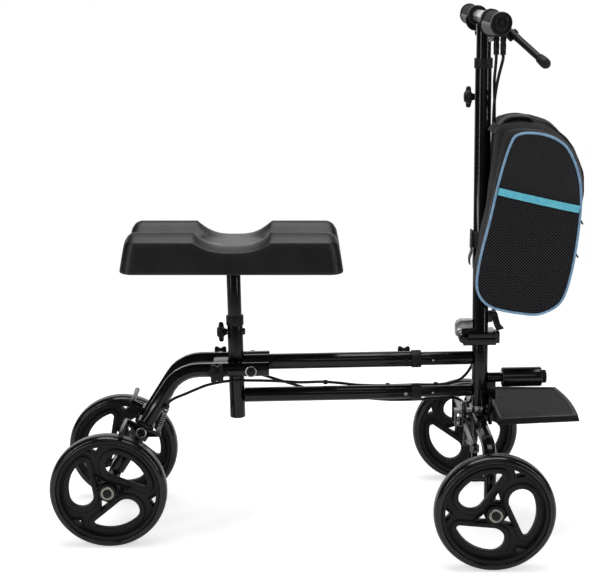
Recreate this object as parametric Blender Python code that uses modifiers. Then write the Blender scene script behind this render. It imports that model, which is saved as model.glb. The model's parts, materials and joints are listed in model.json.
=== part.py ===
"""Knee walker: a steerable four-wheeled walker that carries one bent knee on a padded saddle.

The walker is drawn in its own frame axes. Their origin is the middle of the front axle, +X points
forward, +Y to the left and +Z up, and an empty tips them nose-up by FRAME_PITCH, as the real frame
stands on its four equal wheels. Lengths are in metres.
"""
import bpy
import bmesh
from math import acos, atan2, copysign, cos, pi, radians, sin, tan, tau
from mathutils import Matrix, Vector

# Wheels and stance
WHEEL_RADIUS = 0.100
TYRE_WIDTH = 0.033
TYRE_DEPTH = 0.017
RIM_DEPTH = 0.0052
RIM_WIDTH = 0.0280
TREAD_WIDTH = 0.0148
TYRE_SHOULDER_DROP = 0.0051
TYRE_BASE_WIDTH = 0.0304
WHEELBASE = 0.6445
FRONT_TRACK = 0.4016
REAR_TRACK = 0.2130
FRAME_PITCH = radians(1.15)
HUB_RADIUS = 0.0145
HUB_WIDTH = 0.035
WEB_THICKNESS = 0.014
WEB_SEAT = 0.0040
AXLE_BOLT_RADIUS = 0.0040
AXLE_NUT_RADIUS = 0.0068
AXLE_NUT_DEPTH = 0.0040

# Comma-shaped window of a wheel: a round head and a tail that ends in a small tip. Three-cornered
# pockets lie between the windows at the hub, and small gaps between them at the rim
WINDOW_COUNT = 3
WINDOW_OUTER_RADIUS = 0.0685
WINDOW_HEAD_RADIUS = 0.0210
WINDOW_TIP_RADIUS = 0.0042
WINDOW_SPAN = radians(64)
POCKET_TIP_RADIUS = 0.0360
POCKET_BASE_RADIUS = 0.0175
POCKET_BASE_LEAD = radians(42)
POCKET_BASE_LAG = radians(28)
RIM_GAP_RADIUS = 0.0760
RIM_GAP_DEPTH = 0.0075
RIM_GAP_LEAD = radians(36)
RIM_GAP_HALF_ANGLE = radians(5)

# Where each wheel's first window head stands, seen from the right-hand side
FRONT_RIGHT_PHASE = radians(145)
FRONT_LEFT_PHASE = radians(115)
REAR_RIGHT_PHASE = radians(190)
REAR_LEFT_PHASE = radians(170)

# Gaps: FIT between pieces that are seated on each other, RUN between a pin and its hole
FIT = 0.0003
RUN = 0.0004

# How far two shapes of one piece reach into each other
WELD = 0.0010

# Seat tube, knee post and the two main beams
SEAT_X = -0.4256
SEAT_TUBE_RADIUS = 0.0135
SEAT_TUBE_BOTTOM_Z = 0.1045
SEAT_TUBE_LENGTH = 0.1811
LOCK_LUG_REAR = 0.0404
LOCK_LUG_HALF_HEIGHT = 0.0090
LOCK_LUG_BEVEL = 0.0015
KNEE_POST_RADIUS = 0.0121
KNEE_POST_WALL = 0.0015
KNEE_POST_INSERTION = 0.1250
LOWER_BEAM_Z = 0.1437
BEAM_SPACING = 0.0600
UPPER_SLEEVE_RADIUS = 0.0136
UPPER_BAR_RADIUS = 0.0118
LOWER_SLEEVE_RADIUS = 0.0128
LOWER_BAR_RADIUS = 0.0099
BAR_WALL = 0.0015
SLEEVE_FRONT_X = -0.1055
BAR_OVERLAP = 0.1950
COLLAR_WALL = 0.0017
COLLAR_LENGTH = 0.0165
COLLAR_LIP = 0.0026

# Head tube, front axle and steering
HEAD_TUBE_RADIUS = 0.0138
HEAD_TUBE_BOTTOM_Z = 0.1180
HEAD_TUBE_TOP_Z = 0.2287
STEM_RADIUS = 0.0080
STEM_NECK_RADIUS = 0.0064
STEM_STAND_OUT = 0.0020
STEM_FLANGE_RADIUS = 0.0130
AXLE_TUBE_RADIUS = 0.0118
AXLE_TUBE_Z = 0.0878
AXLE_TUBE_END_Z = 0.0450
AXLE_TUBE_BEND = 0.0400
KINGPIN_Y = 0.1450
KINGPIN_RADIUS = 0.0050
KINGPIN_INSERTION = 0.0200
KNUCKLE_RADIUS = 0.0102
KNUCKLE_BOTTOM_Z = -0.0130
STEERING_ARM_LENGTH = 0.0265
STEERING_ARM_TOP_Z = 0.1080
STEERING_ARM_HALF_WIDTH = 0.0120
TIE_ROD_RADIUS = 0.0055
TIE_ROD_EYE_RADIUS = 0.0078
TIE_ROD_EYE_HEIGHT = 0.0112
TIE_ROD_Z = 0.0900
LINK_PIN_RADIUS = 0.0030
LINK_PIN_STAND_OUT = 0.0036
LINK_SLEEVE_RADIUS = 0.0045
LINK_SLEEVE_TOP_Z = 0.1240
ARM_PLATE_THICKNESS = 0.0030
ARM_WEB_THICKNESS = 0.0025
ARM_WEB_CLEARANCE = 0.0067
ARM_SHELF_GAP = 0.0060
KNUCKLE_ARM_DROP = 0.0120
KNUCKLE_ARM_DEPTH = 0.0060
KNUCKLE_ARM_WIDTH = 0.0100
KNUCKLE_POST_WIDTH = 0.0090

# Fold joint above the head tube: two flanges that part at the pivot's height, and a bent strap
FOLD_PIVOT_X = -0.0316
FOLD_PIVOT_Z = 0.2429
FOLD_BARREL_RADIUS = 0.0075
FOLD_PIN_RADIUS = 0.0030
FOLD_PIN_INSET = 0.0020
FOLD_WIDTH = 0.0400
FOLD_TONGUE_WIDTH = 0.0200
FOLD_FRONT_X = 0.0255
FOLD_HEAD_HEIGHT = 0.0095
FOLD_BEVEL = 0.0010
FOLD_SWING_ROOM = 0.0200
FOLD_NOSE_FRONT_X = 0.0330
FOLD_NOSE_TOP_Z = 0.2518
FOLD_NOSE_OVERLAP = 0.0030
STRAP_TOP_Z = 0.2730
STRAP_SHELF_Z = 0.2588
STRAP_FOOT_Z = 0.2460
STRAP_THICKNESS = 0.0030
STRAP_WIDTH = 0.0190
STRAP_CLEARANCE = 0.0012
STRAP_SHOULDER = 0.0095
STRAP_SHOULDER_CUT = 0.0033

# Quick-release lever: it hangs from a lug on the column, and its foot rests on the lower flange
RELEASE_PIVOT_X = 0.0232
RELEASE_PIVOT_Z = 0.2830
RELEASE_PIN_RADIUS = 0.0025
RELEASE_PIN_LENGTH = 0.0170
RELEASE_LUG_THICKNESS = 0.0080
RELEASE_LUG_RADIUS = 0.0045
RELEASE_LUG_DROP = 0.0150
RELEASE_LUG_FOOT = 0.0190
RELEASE_EYE_RADIUS = 0.0055
RELEASE_LEVER_LENGTH = 0.0295
RELEASE_LEVER_LEAN = radians(16)
RELEASE_LEVER_WIDTH = 0.0180
RELEASE_LEVER_THICKNESS = 0.0100
RELEASE_SLOT_LENGTH = 0.0130
RELEASE_LIP_DEPTH = 0.0045
RELEASE_LIP_HEIGHT = 0.0065

# Telescoping steering column, its knob and the handlebar
COLUMN_RADIUS = 0.0138
COLUMN_TOP_Z = 0.7180
COLUMN_FOOT = 0.0040
UPPER_COLUMN_RADIUS = 0.0123
COLUMN_INSERTION = 0.2550
HANDLE_Z = 0.7870
HANDLEBAR_RADIUS = 0.0102
HANDLEBAR_LENGTH = 0.3910
GRIP_LENGTH = 0.1060
GRIP_RADIUS = 0.0153
GRIP_INNER_LOBE = 0.0095
GRIP_OUTER_LOBE = 0.0035
GRIP_CAP = 0.0045
GRIP_FLANGE = 0.0018
GRIP_FLANGE_WIDTH = 0.0040
GRIP_END_BEAD = 0.0022
GRIP_END_BEAD_WIDTH = 0.0120
GRIP_END_ROUND = 0.0032
PALM_LOBE_TURN = radians(100)
CLAMP_WIDTH = 0.0145
CLAMP_RADIUS = 0.0168
CLAMP_BOSS_RADIUS = 0.0045
CLAMP_BOSS_LENGTH = 0.0320
COLUMN_KNOB_Z = 0.6570

# Brake lever: its pivot lies LEVER_REACH from the bar, forward and down by LEVER_SLOPE. Its stations
# are the distance along the blade and the blade's half width there
LEVER_REACH = 0.0414
LEVER_OFFSET = 0.0094
LEVER_SLOPE = radians(47)
LEVER_FLARE = radians(35.4)
LEVER_ROOT_RADIUS = 0.0082
LEVER_FLATTENING = 0.95
LEVER_STATIONS = (
    (0.0021, 0.0048), (0.0188, 0.0054), (0.0417, 0.0059), (0.0647, 0.0057), (0.0834, 0.0054),
    (0.0855, 0.0071), (0.1012, 0.0071), (0.1043, 0.0043),
)
LEVER_THICKNESS = 0.0105
LEVER_PIN_RADIUS = 0.0025
LEVER_PIN_STAND_OUT = 0.0022
LEVER_BRACKET_THICKNESS = 0.0055
LEVER_BRACKET_HALF_WIDTH = 0.0070
LEVER_BRACKET_END = 0.0060
LEVER_BRACKET_BEVEL = 0.0008

# Where the cables leave the lever's clamp, measured from the middle of its ring
CABLE_BARREL_RADIUS = 0.0042
CABLE_BARREL_TOP = 0.0182
CABLE_EXIT_DEPTH = 0.0560
CABLE_WEB_DEPTH = 0.0280
CABLE_WEB_REAR = (0.0060, -0.0060)
CABLE_WEB_FRONT = (0.0230, 0.0070)
RIGHT_CABLE_EXIT = (0.0195, -0.0020)
LEFT_CABLE_EXIT = (0.0095, 0.0040)

# Rear legs, rear axle and brakes
LEG_RADIUS = 0.0126
LEG_WALL = 0.0018
LEG_Y = 0.0330
LEG_FRONT_X = -0.3677
LEG_LEAN = radians(33)
LEG_DROP = 0.0030
LEG_BEND = 0.0620
LEG_PIVOT_X = -0.3983
LEG_PIVOT_BOLT_RADIUS = 0.0040
LEG_PIVOT_HEAD_RADIUS = 0.0088
LEG_PIVOT_HEAD_HEIGHT = 0.0050
LEG_PIVOT_HEAD_EDGE = 0.0010
LEG_LOCK_X = -0.4560
AXLE_BEAM_RADIUS = 0.0110
BRAKE_PIVOT_RISE = 0.0990
BRAKE_PIN_RADIUS = 0.0040
BRAKE_PIN_HEAD_RADIUS = 0.0080
BRAKE_PIN_HEAD_TOP_RADIUS = 0.0050
BRAKE_PIN_HEAD_HEIGHT = 0.0035
BRAKE_HOUSING_BELOW = 0.0150
BRAKE_HOUSING_ABOVE = 0.0160
BRAKE_HOUSING_BEVEL = 0.0020
BRAKE_ARM_THICKNESS = 0.0040
BRAKE_ARM_EYE_RADIUS = 0.0090
BRAKE_ARM_REACH = 0.0280
BRAKE_ARM_DROP = 0.0060
BRAKE_ARM_RIB = 0.0030
BRAKE_ARM_SHOULDER = (0.0100, 0.0060)
BRAKE_ARM_TIP = ((0.0050, 0.0030), (-0.0055, 0.0010))
BRAKE_LEDGE_THICKNESS = 0.0038
BRAKE_LEDGE_HALF_LENGTH = 0.0050
BRAKE_SHOE_RADIUS = 0.0045
BRAKE_SHOE_CLEARANCE = 0.0030
BRAKE_SHOE_ANGLE = radians(75)
BRAKE_HOUSING_WALL = 0.0026
SPRING_LENGTH = 0.0375
SPRING_LEAN = radians(22)
SPRING_RADIUS = 0.0036
SPRING_WIRE_RADIUS = 0.0007
SPRING_COILS = 7
SPRING_SIDE_GAP = 0.0015
STOP_TAB_LOW = (-0.0072, -0.0120, -0.0040)
STOP_TAB_HIGH = (0.0028, -0.0010, 0.0040)
CABLE_STOP_RADIUS = 0.0036
CABLE_STOP_LENGTH = 0.0120

# Star knobs
KNOB_RADIUS = 0.0175
KNOB_LOBES = 6
KNOB_LOBE_DEPTH = 0.0026
KNOB_THICKNESS = 0.0125
KNOB_BOSS_RADIUS = 0.0085
KNOB_FOOT_RADIUS = 0.0068
KNOB_BOSS_LENGTH = 0.0055
SEAT_KNOB_Z = 0.2591
BEAM_KNOB_X = -0.1310

# Knee pad: a moulded saddle with two cross ridges and a trough along the middle
PAD_LENGTH = 0.3735
PAD_WIDTH = 0.1780
PAD_HEIGHT = 0.0655
PAD_BOTTOM_Z = 0.3797
PAD_OFFSET = 0.0002
PAD_TROUGH_DEPTH = 0.0240
PAD_CREST_Y = 0.0520
PAD_SIDE_DRAFT = 0.0110
PAD_DIP_CENTRE = 0.0012
PAD_DIP_HALF = 0.0650
PAD_DIP_POWER = 1.6
PAD_CORNER_RADIUS = 0.0200
PAD_SHOULDER_DROP = 0.0120
PAD_SHOULDER_LEAST = 0.0042
PAD_SHOULDER_POWER = 2.2
PAD_END_ROUND = 0.0080
PAD_END_DROP = 0.0040
PAD_SIDE_BREAK = 0.0042
PAD_SIDE_BREAK_HEIGHT = 0.55
PAD_STEPS_ALONG = 22
PAD_STEPS_ACROSS = 14
PAD_PLATE_LENGTH = 0.1500
PAD_PLATE_WIDTH = 0.0700
PAD_PLATE_THICKNESS = 0.0040

# Footplate and the padded front grip
FOOTPLATE_REAR_X = 0.0190
FOOTPLATE_FRONT_X = 0.1590
FOOTPLATE_REAR_HALF_WIDTH = 0.0930
FOOTPLATE_FRONT_HALF_WIDTH = 0.0820
FOOTPLATE_BOW = 0.0080
FOOTPLATE_TOP_Z = 0.1210
FOOTPLATE_THICKNESS = 0.0080
GRIP_ARM_Z = 0.1670
GRIP_ARM_RADIUS = 0.0085
GRIP_SPINDLE_RADIUS = 0.0068
BRACKET_HALF_WIDTH = 0.0120
BRACKET_REAR_X = 0.0020
BRACKET_FRONT_X = 0.0360
BRACKET_TOP_Z = 0.1575
BRACKET_BOTTOM_Z = 0.0784
BRACKET_SHELF = 0.0060
BRACKET_RIB_WIDTH = 0.0080
BRACKET_RIB_START_Z = 0.1310
ROLLER_RADIUS = 0.0169
ROLLER_REAR_X = 0.0385
ROLLER_LENGTH = 0.0690
ROLLER_EDGE = 0.0012
ROLLER_BORE_END = 0.0720
ROLLER_KNOB_RADIUS = 0.0115
ROLLER_KNOB_LENGTH = 0.0085
ROLLER_KNOB_EDGE = 0.0018

# Carry bag, hung on the front of the column and a little askew: the far side stands further forward.
# Each outline goes round from the top, down the back, along the bottom and up the front
BAG_WIDTH = 0.1900
BAG_TURN = 0.0200
BAG_CHANNEL_FRONT_X = 0.0260
BAG_CHANNEL_HALF_WIDTH = 0.0245
BAG_PANEL_OUTLINE = (
    (0.0605, 0.6072), (0.0430, 0.6040), (0.0346, 0.5953), (0.0225, 0.5603), (0.0123, 0.5198),
    (0.0001, 0.4609), (-0.0119, 0.4144), (-0.0193, 0.3700), (-0.0180, 0.3440), (-0.0044, 0.3247),
    (0.0177, 0.3136), (0.0694, 0.3045), (0.0900, 0.3063), (0.1150, 0.3190), (0.1289, 0.3433),
    (0.1413, 0.4036), (0.1488, 0.4811), (0.1453, 0.5324), (0.1289, 0.5745), (0.1135, 0.5911),
    (0.0906, 0.6029),
)
BAG_BODY_OUTLINE = (
    (0.0600, 0.6225), (0.0330, 0.6195), (0.0190, 0.6110), (0.0150, 0.5650), (0.0110, 0.5198),
    (0.0020, 0.4609), (-0.0080, 0.4144), (-0.0130, 0.3700), (-0.0120, 0.3440), (-0.0010, 0.3230),
    (0.0200, 0.3110), (0.0700, 0.3010), (0.0950, 0.3030), (0.1230, 0.3170), (0.1380, 0.3433),
    (0.1560, 0.4036), (0.1715, 0.4750), (0.1740, 0.5240), (0.1520, 0.5670), (0.1270, 0.5940),
    (0.1000, 0.6130),
)
BAG_SECTIONS = ((-1, 0), (-0.82, 0.6), (-0.45, 1), (0, 1), (0.45, 1), (0.82, 0.6), (1, 0))

# Brake cables
CABLE_RADIUS = 0.0025
CABLE_LEAD = 0.0070
CABLE_POINT_SPACING = 0.0156

# Values worked out from the driving dimensions
UPPER_BEAM_Z = LOWER_BEAM_Z + BEAM_SPACING
REAR_AXLE_X = -WHEELBASE * cos(FRAME_PITCH)
REAR_AXLE_Z = WHEELBASE * sin(FRAME_PITCH)
TYRE_INNER_RADIUS = WHEEL_RADIUS - TYRE_DEPTH
SEAT_TUBE_TOP_Z = SEAT_TUBE_BOTTOM_Z + SEAT_TUBE_LENGTH
STEM_TOP_Z = HEAD_TUBE_TOP_Z + STEM_STAND_OUT
LEG_TOP_Z = UPPER_BEAM_Z - LEG_DROP
LEG_CORNER_X = REAR_AXLE_X + (LEG_TOP_Z - REAR_AXLE_Z) * tan(LEG_LEAN)
LEG_DIRECTION = Vector((sin(LEG_LEAN), 0, cos(LEG_LEAN)))
REAR_AXLE = Vector((REAR_AXLE_X, 0, REAR_AXLE_Z))
BRAKE_PIVOT = REAR_AXLE + LEG_DIRECTION * BRAKE_PIVOT_RISE
SPRING_DIRECTION = Vector((sin(SPRING_LEAN), 0, cos(SPRING_LEAN)))
BRAKE_ARM_Y = LEG_RADIUS + BRAKE_HOUSING_WALL + FIT
LEVER_UPWARD = Vector((sin(LEVER_SLOPE), 0, cos(LEVER_SLOPE)))
LEVER_OUTWARD = Vector((cos(LEVER_SLOPE), 0, -sin(LEVER_SLOPE)))
CLAMP_Y = HANDLEBAR_LENGTH / 2 - GRIP_LENGTH - CLAMP_WIDTH / 2 - FIT
LEVER_PIVOT = Vector((0, -CLAMP_Y, HANDLE_Z)) + LEVER_OUTWARD * LEVER_REACH + LEVER_UPWARD * LEVER_OFFSET
PAD_PIVOT = Vector((SEAT_X + PAD_OFFSET, 0, PAD_BOTTOM_Z))

# Facets: sides of a tube, of a wheel and of a small pin
ROUND = 16
WHEEL_ROUND = 32
SMALL_ROUND = 10


def bag_section(side, fullness):
    """One slice of the bag, from its flat side panel (fullness 0) to its swollen body (fullness 1)."""
    y = side * BAG_WIDTH / 2
    panel_shift = BAG_TURN * (side + 1) / 2
    body_shift = BAG_TURN * side / 2
    points = []
    for panel, body in zip(BAG_PANEL_OUTLINE, BAG_BODY_OUTLINE):
        outer = Vector((panel[0] + panel_shift, y, panel[1]))
        inner = Vector((body[0] + body_shift, y, body[1]))
        points.append(outer.lerp(inner, fullness))
    return points


def front_reach():
    """How far the bag or the footplate reaches ahead of the front axle, once the frame is tipped."""
    points = [point for side, fullness in BAG_SECTIONS for point in bag_section(side, fullness)]
    points.append(Vector((FOOTPLATE_FRONT_X, 0, FOOTPLATE_TOP_Z)))
    return max(point.x * cos(FRAME_PITCH) - point.z * sin(FRAME_PITCH) for point in points)


FRONT_AXLE_X = (WHEELBASE + WHEEL_RADIUS - front_reach()) / 2


def empty_scene():
    for obj in list(bpy.data.objects):
        bpy.data.objects.remove(obj, do_unlink=True)


def new_collection(name):
    collection = bpy.data.collections.new(name)
    bpy.context.scene.collection.children.link(collection)
    return collection


def new_material(name, colour, roughness, metallic=0.0):
    material = bpy.data.materials.new(name)
    material.use_nodes = True
    shader = material.node_tree.nodes["Principled BSDF"]
    shader.inputs["Base Color"].default_value = (*colour, 1)
    shader.inputs["Roughness"].default_value = roughness
    shader.inputs["Metallic"].default_value = metallic
    return material


empty_scene()
PARTS = new_collection("knee_walker")
CUTTERS = new_collection("cutters")
BLACK_PAINT = new_material("black_paint", (0.012, 0.012, 0.013), 0.18)
ZINC = new_material("zinc", (0.55, 0.55, 0.56), 0.35, 1.0)
BLACK_PLASTIC = new_material("black_plastic", (0.020, 0.020, 0.021), 0.50)
BLACK_RUBBER = new_material("black_rubber", (0.018, 0.018, 0.019), 0.60)
TYRE_RUBBER = new_material("tyre_rubber", (0.016, 0.016, 0.017), 0.45)
PAD_SKIN = new_material("pad_skin", (0.020, 0.020, 0.021), 0.55)
BAG_FABRIC = new_material("bag_fabric", (0.015, 0.015, 0.017), 0.90)
CHROME = new_material("chrome", (0.60, 0.60, 0.61), 0.25, 1.0)

# The tipped frame axes, and one empty on the axis of every joint
FRAME = bpy.data.objects.new("frame_axes", None)
PARTS.objects.link(FRAME)
FRAME.location = (FRONT_AXLE_X, 0, WHEEL_RADIUS)
FRAME.rotation_euler = (0, -FRAME_PITCH, 0)
PIVOTS = {}


def add_pivot(name, at):
    empty = bpy.data.objects.new(name + "_axis", None)
    PARTS.objects.link(empty)
    empty.parent = FRAME
    empty.location = at
    PIVOTS[name] = empty


def place(obj, group, at=(0, 0, 0), turn=None):
    """Parent obj to a joint's empty and put its origin at a point given in frame axes."""
    obj.parent = PIVOTS[group]
    obj.location = Vector(at) - PIVOTS[group].location
    if turn is not None:
        obj.rotation_euler = turn
    return obj


def finish(obj, name, material):
    """Merge a piece's flat faces, name it and give it its material."""
    bm = bmesh.new()
    bm.from_mesh(obj.data)
    bmesh.ops.dissolve_limit(bm, angle_limit=radians(0.2), verts=bm.verts, edges=bm.edges)
    bm.to_mesh(obj.data)
    bm.free()
    obj.data.set_sharp_from_angle(angle=radians(35))
    obj.name = name
    PARTS.objects.link(obj)
    obj.data.materials.clear()
    obj.data.materials.append(material)
    return obj


def mesh_object(bm, name="raw"):
    mesh = bpy.data.meshes.new(name)
    bm.to_mesh(mesh)
    bm.free()
    mesh.shade_smooth()
    mesh.set_sharp_from_angle(angle=radians(35))
    return bpy.data.objects.new(name, mesh)


ALONG = {
    "Z": Matrix.Identity(4),
    "X": Matrix.Rotation(pi / 2, 4, "Y"),
    "Y": Matrix.Rotation(-pi / 2, 4, "X"),
}


def turned(profile, along="Z", steps=ROUND, ring=False):
    """Turn a profile of (radius, height) points about an axis through the object's origin."""
    mesh = bpy.data.meshes.new("turned")
    count = len(profile)
    edges = [(i, i + 1) for i in range(count - 1)]
    if ring:
        edges.append((count - 1, 0))
    mesh.from_pydata([(r, 0, z) for r, z in profile], edges, [])
    obj = bpy.data.objects.new("turned", mesh)
    CUTTERS.objects.link(obj)
    screw = obj.modifiers.new("turn", "SCREW")
    screw.steps = steps
    screw.render_steps = steps
    screw.use_merge_vertices = True
    screw.merge_threshold = 0.00001
    made = evaluated_copy(obj)
    made.data.transform(ALONG[along])
    return made


def evaluated_copy(obj):
    """Return a new object with obj's modifiers or bevel made real, and remove obj."""
    bpy.context.view_layer.update()
    graph = bpy.context.evaluated_depsgraph_get()
    mesh = bpy.data.meshes.new_from_object(obj.evaluated_get(graph))
    bm = bmesh.new()
    bm.from_mesh(mesh)
    bmesh.ops.remove_doubles(bm, verts=bm.verts, dist=0.000002)
    bpy.data.objects.remove(obj, do_unlink=True)
    return mesh_object(bm)


def rod(radius, length, along="Z", start=0.0, steps=ROUND, end_radius=None):
    """Make a solid cylinder or cone that runs from start along an axis."""
    bm = bmesh.new()
    top = radius if end_radius is None else end_radius
    bmesh.ops.create_cone(bm, cap_ends=True, segments=steps, radius1=radius, radius2=top, depth=length)
    bmesh.ops.translate(bm, verts=bm.verts, vec=(0, 0, start + length / 2))
    bmesh.ops.transform(bm, verts=bm.verts, matrix=ALONG[along])
    return mesh_object(bm)


def tube(outer, inner, low, high, along="Z", steps=ROUND):
    profile = [(outer, high), (outer, low), (inner, low), (inner, high)]
    return turned(profile, along, steps, ring=True)


def block(low, high, bevel=0.0):
    """Make a box between two corners, with its edges rounded by bevel."""
    bm = bmesh.new()
    low, high = Vector(low), Vector(high)
    bmesh.ops.create_cube(bm, size=1)
    bmesh.ops.scale(bm, verts=bm.verts, vec=high - low)
    bmesh.ops.translate(bm, verts=bm.verts, vec=(low + high) / 2)
    if bevel:
        bmesh.ops.bevel(bm, geom=bm.edges, offset=bevel, segments=1, profile=0.5, affect="EDGES")
    return mesh_object(bm)


def outline_plate(outlines, thickness, plane="XY"):
    """Fill a flat outline, with any holes, and give it a thickness about its own plane."""
    curve = bpy.data.curves.new("outline", "CURVE")
    curve.dimensions = "2D"
    curve.fill_mode = "BOTH"
    curve.extrude = thickness / 2
    for outline in outlines:
        spline = curve.splines.new("POLY")
        spline.points.add(len(outline) - 1)
        for point, (a, b) in zip(spline.points, outline):
            point.co = (a, b, 0, 1)
        spline.use_cyclic_u = True
    obj = bpy.data.objects.new("outline", curve)
    CUTTERS.objects.link(obj)
    made = evaluated_copy(obj)
    if plane == "XZ":
        made.data.transform(Matrix.Rotation(pi / 2, 4, "X"))
    if plane == "YZ":
        made.data.transform(Matrix(((0, 0, 1, 0), (1, 0, 0, 0), (0, 1, 0, 0), (0, 0, 0, 1))))
    return made


def swept(points, radius, sides=3, radii=None, capped=True):
    """Sweep a round section along points; sides is the bevel resolution."""
    curve = bpy.data.curves.new("path", "CURVE")
    curve.dimensions = "3D"
    curve.bevel_depth = radius
    curve.bevel_resolution = sides
    curve.use_fill_caps = capped
    spline = curve.splines.new("POLY")
    spline.points.add(len(points) - 1)
    for i, point in enumerate(points):
        spline.points[i].co = (*point, 1)
        if radii:
            spline.points[i].radius = radii[i]
    obj = bpy.data.objects.new("path", curve)
    CUTTERS.objects.link(obj)
    return evaluated_copy(obj)


def pipe(points, radius, wall, sides=4):
    """Sweep a hollow tube that is open at both ends."""
    obj = swept(points, radius, sides, capped=False)
    shell = obj.modifiers.new("wall", "SOLIDIFY")
    shell.thickness = wall
    shell.offset = -1
    shell.use_even_offset = True
    CUTTERS.objects.link(obj)
    return evaluated_copy(obj)


def boolean(obj, other, operation):
    """Union or cut other into obj at once, both in the same axes, and return the result."""
    CUTTERS.objects.link(obj)
    CUTTERS.objects.link(other)
    step = obj.modifiers.new("step", "BOOLEAN")
    step.object = other
    step.operation = operation
    made = evaluated_copy(obj)
    bpy.data.objects.remove(other, do_unlink=True)
    return made


def joined(obj, *others):
    for other in others:
        obj = boolean(obj, other, "UNION")
    return obj


def cut(obj, *others):
    for other in others:
        obj = boolean(obj, other, "DIFFERENCE")
    return obj


def moved(obj, by=(0, 0, 0), matrix=None):
    """Move or turn a piece's mesh inside its own axes."""
    if matrix is not None:
        obj.data.transform(matrix)
    obj.data.transform(Matrix.Translation(Vector(by)))
    return obj


def copy_of(obj):
    return bpy.data.objects.new(obj.name, obj.data.copy())


def arc(centre, radius, start, end, count):
    """Points on a circle, with their angles in radians."""
    step = (end - start) / (count - 1)
    return [
        (centre[0] + radius * cos(start + i * step), centre[1] + radius * sin(start + i * step))
        for i in range(count)
    ]


def polar(radius, angle):
    return (radius * cos(angle), radius * sin(angle))


def smooth_path(points, per_span):
    """Pass a smooth curve through chosen points (Catmull-Rom)."""
    points = [Vector(p) for p in points]
    padded = [2 * points[0] - points[1], *points, 2 * points[-1] - points[-2]]
    path = []
    for i in range(1, len(padded) - 2):
        p0, p1, p2, p3 = padded[i - 1:i + 3]
        for k in range(per_span):
            t = k / per_span
            path.append(0.5 * (2 * p1 + (p2 - p0) * t + (2 * p0 - 5 * p1 + 4 * p2 - p3) * t * t
                               + (3 * p1 - p0 - 3 * p2 + p3) * t ** 3))
    path.append(points[-1])
    return path


def cross_hole(pin_radius, steps=SMALL_ROUND):
    """A cutter along Y through any piece, with running room for a pin."""
    return rod(pin_radius + RUN, HANDLEBAR_LENGTH, "Y", -HANDLEBAR_LENGTH / 2, steps)


def facing(direction):
    """Turn +Z to a direction."""
    return Vector((0, 0, 1)).rotation_difference(Vector(direction)).to_matrix().to_4x4()


# Joint axes
add_pivot("rear_frame", (0, 0, 0))
add_pivot("rear_legs", (LEG_PIVOT_X, 0, LEG_TOP_Z))
add_pivot("rear_wheels", (REAR_AXLE_X, 0, REAR_AXLE_Z))
add_pivot("brake_arms", BRAKE_PIVOT)
add_pivot("leg_knobs", (LEG_LOCK_X, 0, LEG_TOP_Z))
add_pivot("seat", (SEAT_X, 0, SEAT_TUBE_TOP_Z))
add_pivot("seat_knob", (SEAT_X, 0, SEAT_KNOB_Z))
add_pivot("beam_knob", (BEAM_KNOB_X, 0, UPPER_BEAM_Z))
add_pivot("front_frame", (0, 0, LOWER_BEAM_Z))
add_pivot("steering", (0, 0, AXLE_TUBE_Z))
add_pivot("tie_rod", (-STEERING_ARM_LENGTH, 0, TIE_ROD_Z))
add_pivot("right_knuckle", (0, -KINGPIN_Y, 0))
add_pivot("left_knuckle", (0, KINGPIN_Y, 0))
add_pivot("column", (FOLD_PIVOT_X, 0, FOLD_PIVOT_Z))
add_pivot("release", (RELEASE_PIVOT_X, 0, RELEASE_PIVOT_Z))
add_pivot("handle", (0, 0, HANDLE_Z))
add_pivot("column_knob", (0, 0, COLUMN_KNOB_Z))
add_pivot("brake_lever", LEVER_PIVOT)


# Wheels
def window_outline(phase):
    """The comma: round its head, straight down to its tip, round the tip and back on the outer arc."""
    head = Vector(polar(WINDOW_OUTER_RADIUS - WINDOW_HEAD_RADIUS, phase))
    tip_angle = phase - WINDOW_SPAN
    tip = Vector(polar(WINDOW_OUTER_RADIUS - WINDOW_TIP_RADIUS, tip_angle))
    reach = tip - head
    touch = acos((WINDOW_HEAD_RADIUS - WINDOW_TIP_RADIUS) / reach.length)
    tangent = (atan2(reach.y, reach.x) - touch - phase) % tau + phase
    points = arc(head, WINDOW_HEAD_RADIUS, phase, tangent, 8)
    points += arc(tip, WINDOW_TIP_RADIUS, tangent, tip_angle + tau, 4)
    edge = arc((0, 0), WINDOW_OUTER_RADIUS, tip_angle, phase, 6)
    return points + edge[1:-1]


def pocket_outline(phase):
    """The three-cornered pocket between the hub and two window frames."""
    angle = phase - WINDOW_SPAN
    return [
        polar(POCKET_TIP_RADIUS, angle),
        polar(POCKET_BASE_RADIUS, angle + POCKET_BASE_LEAD),
        polar(POCKET_BASE_RADIUS, angle - POCKET_BASE_LAG),
    ]


def rim_gap_outline(phase):
    """The small triangle where two window frames meet at the rim."""
    angle = phase + RIM_GAP_LEAD
    return [
        polar(RIM_GAP_RADIUS, angle + RIM_GAP_HALF_ANGLE),
        polar(RIM_GAP_RADIUS - RIM_GAP_DEPTH, angle),
        polar(RIM_GAP_RADIUS, angle - RIM_GAP_HALF_ANGLE),
    ]


def circle(radius, count):
    return arc((0, 0), radius, 0, tau * (count - 1) / count, count)


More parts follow.
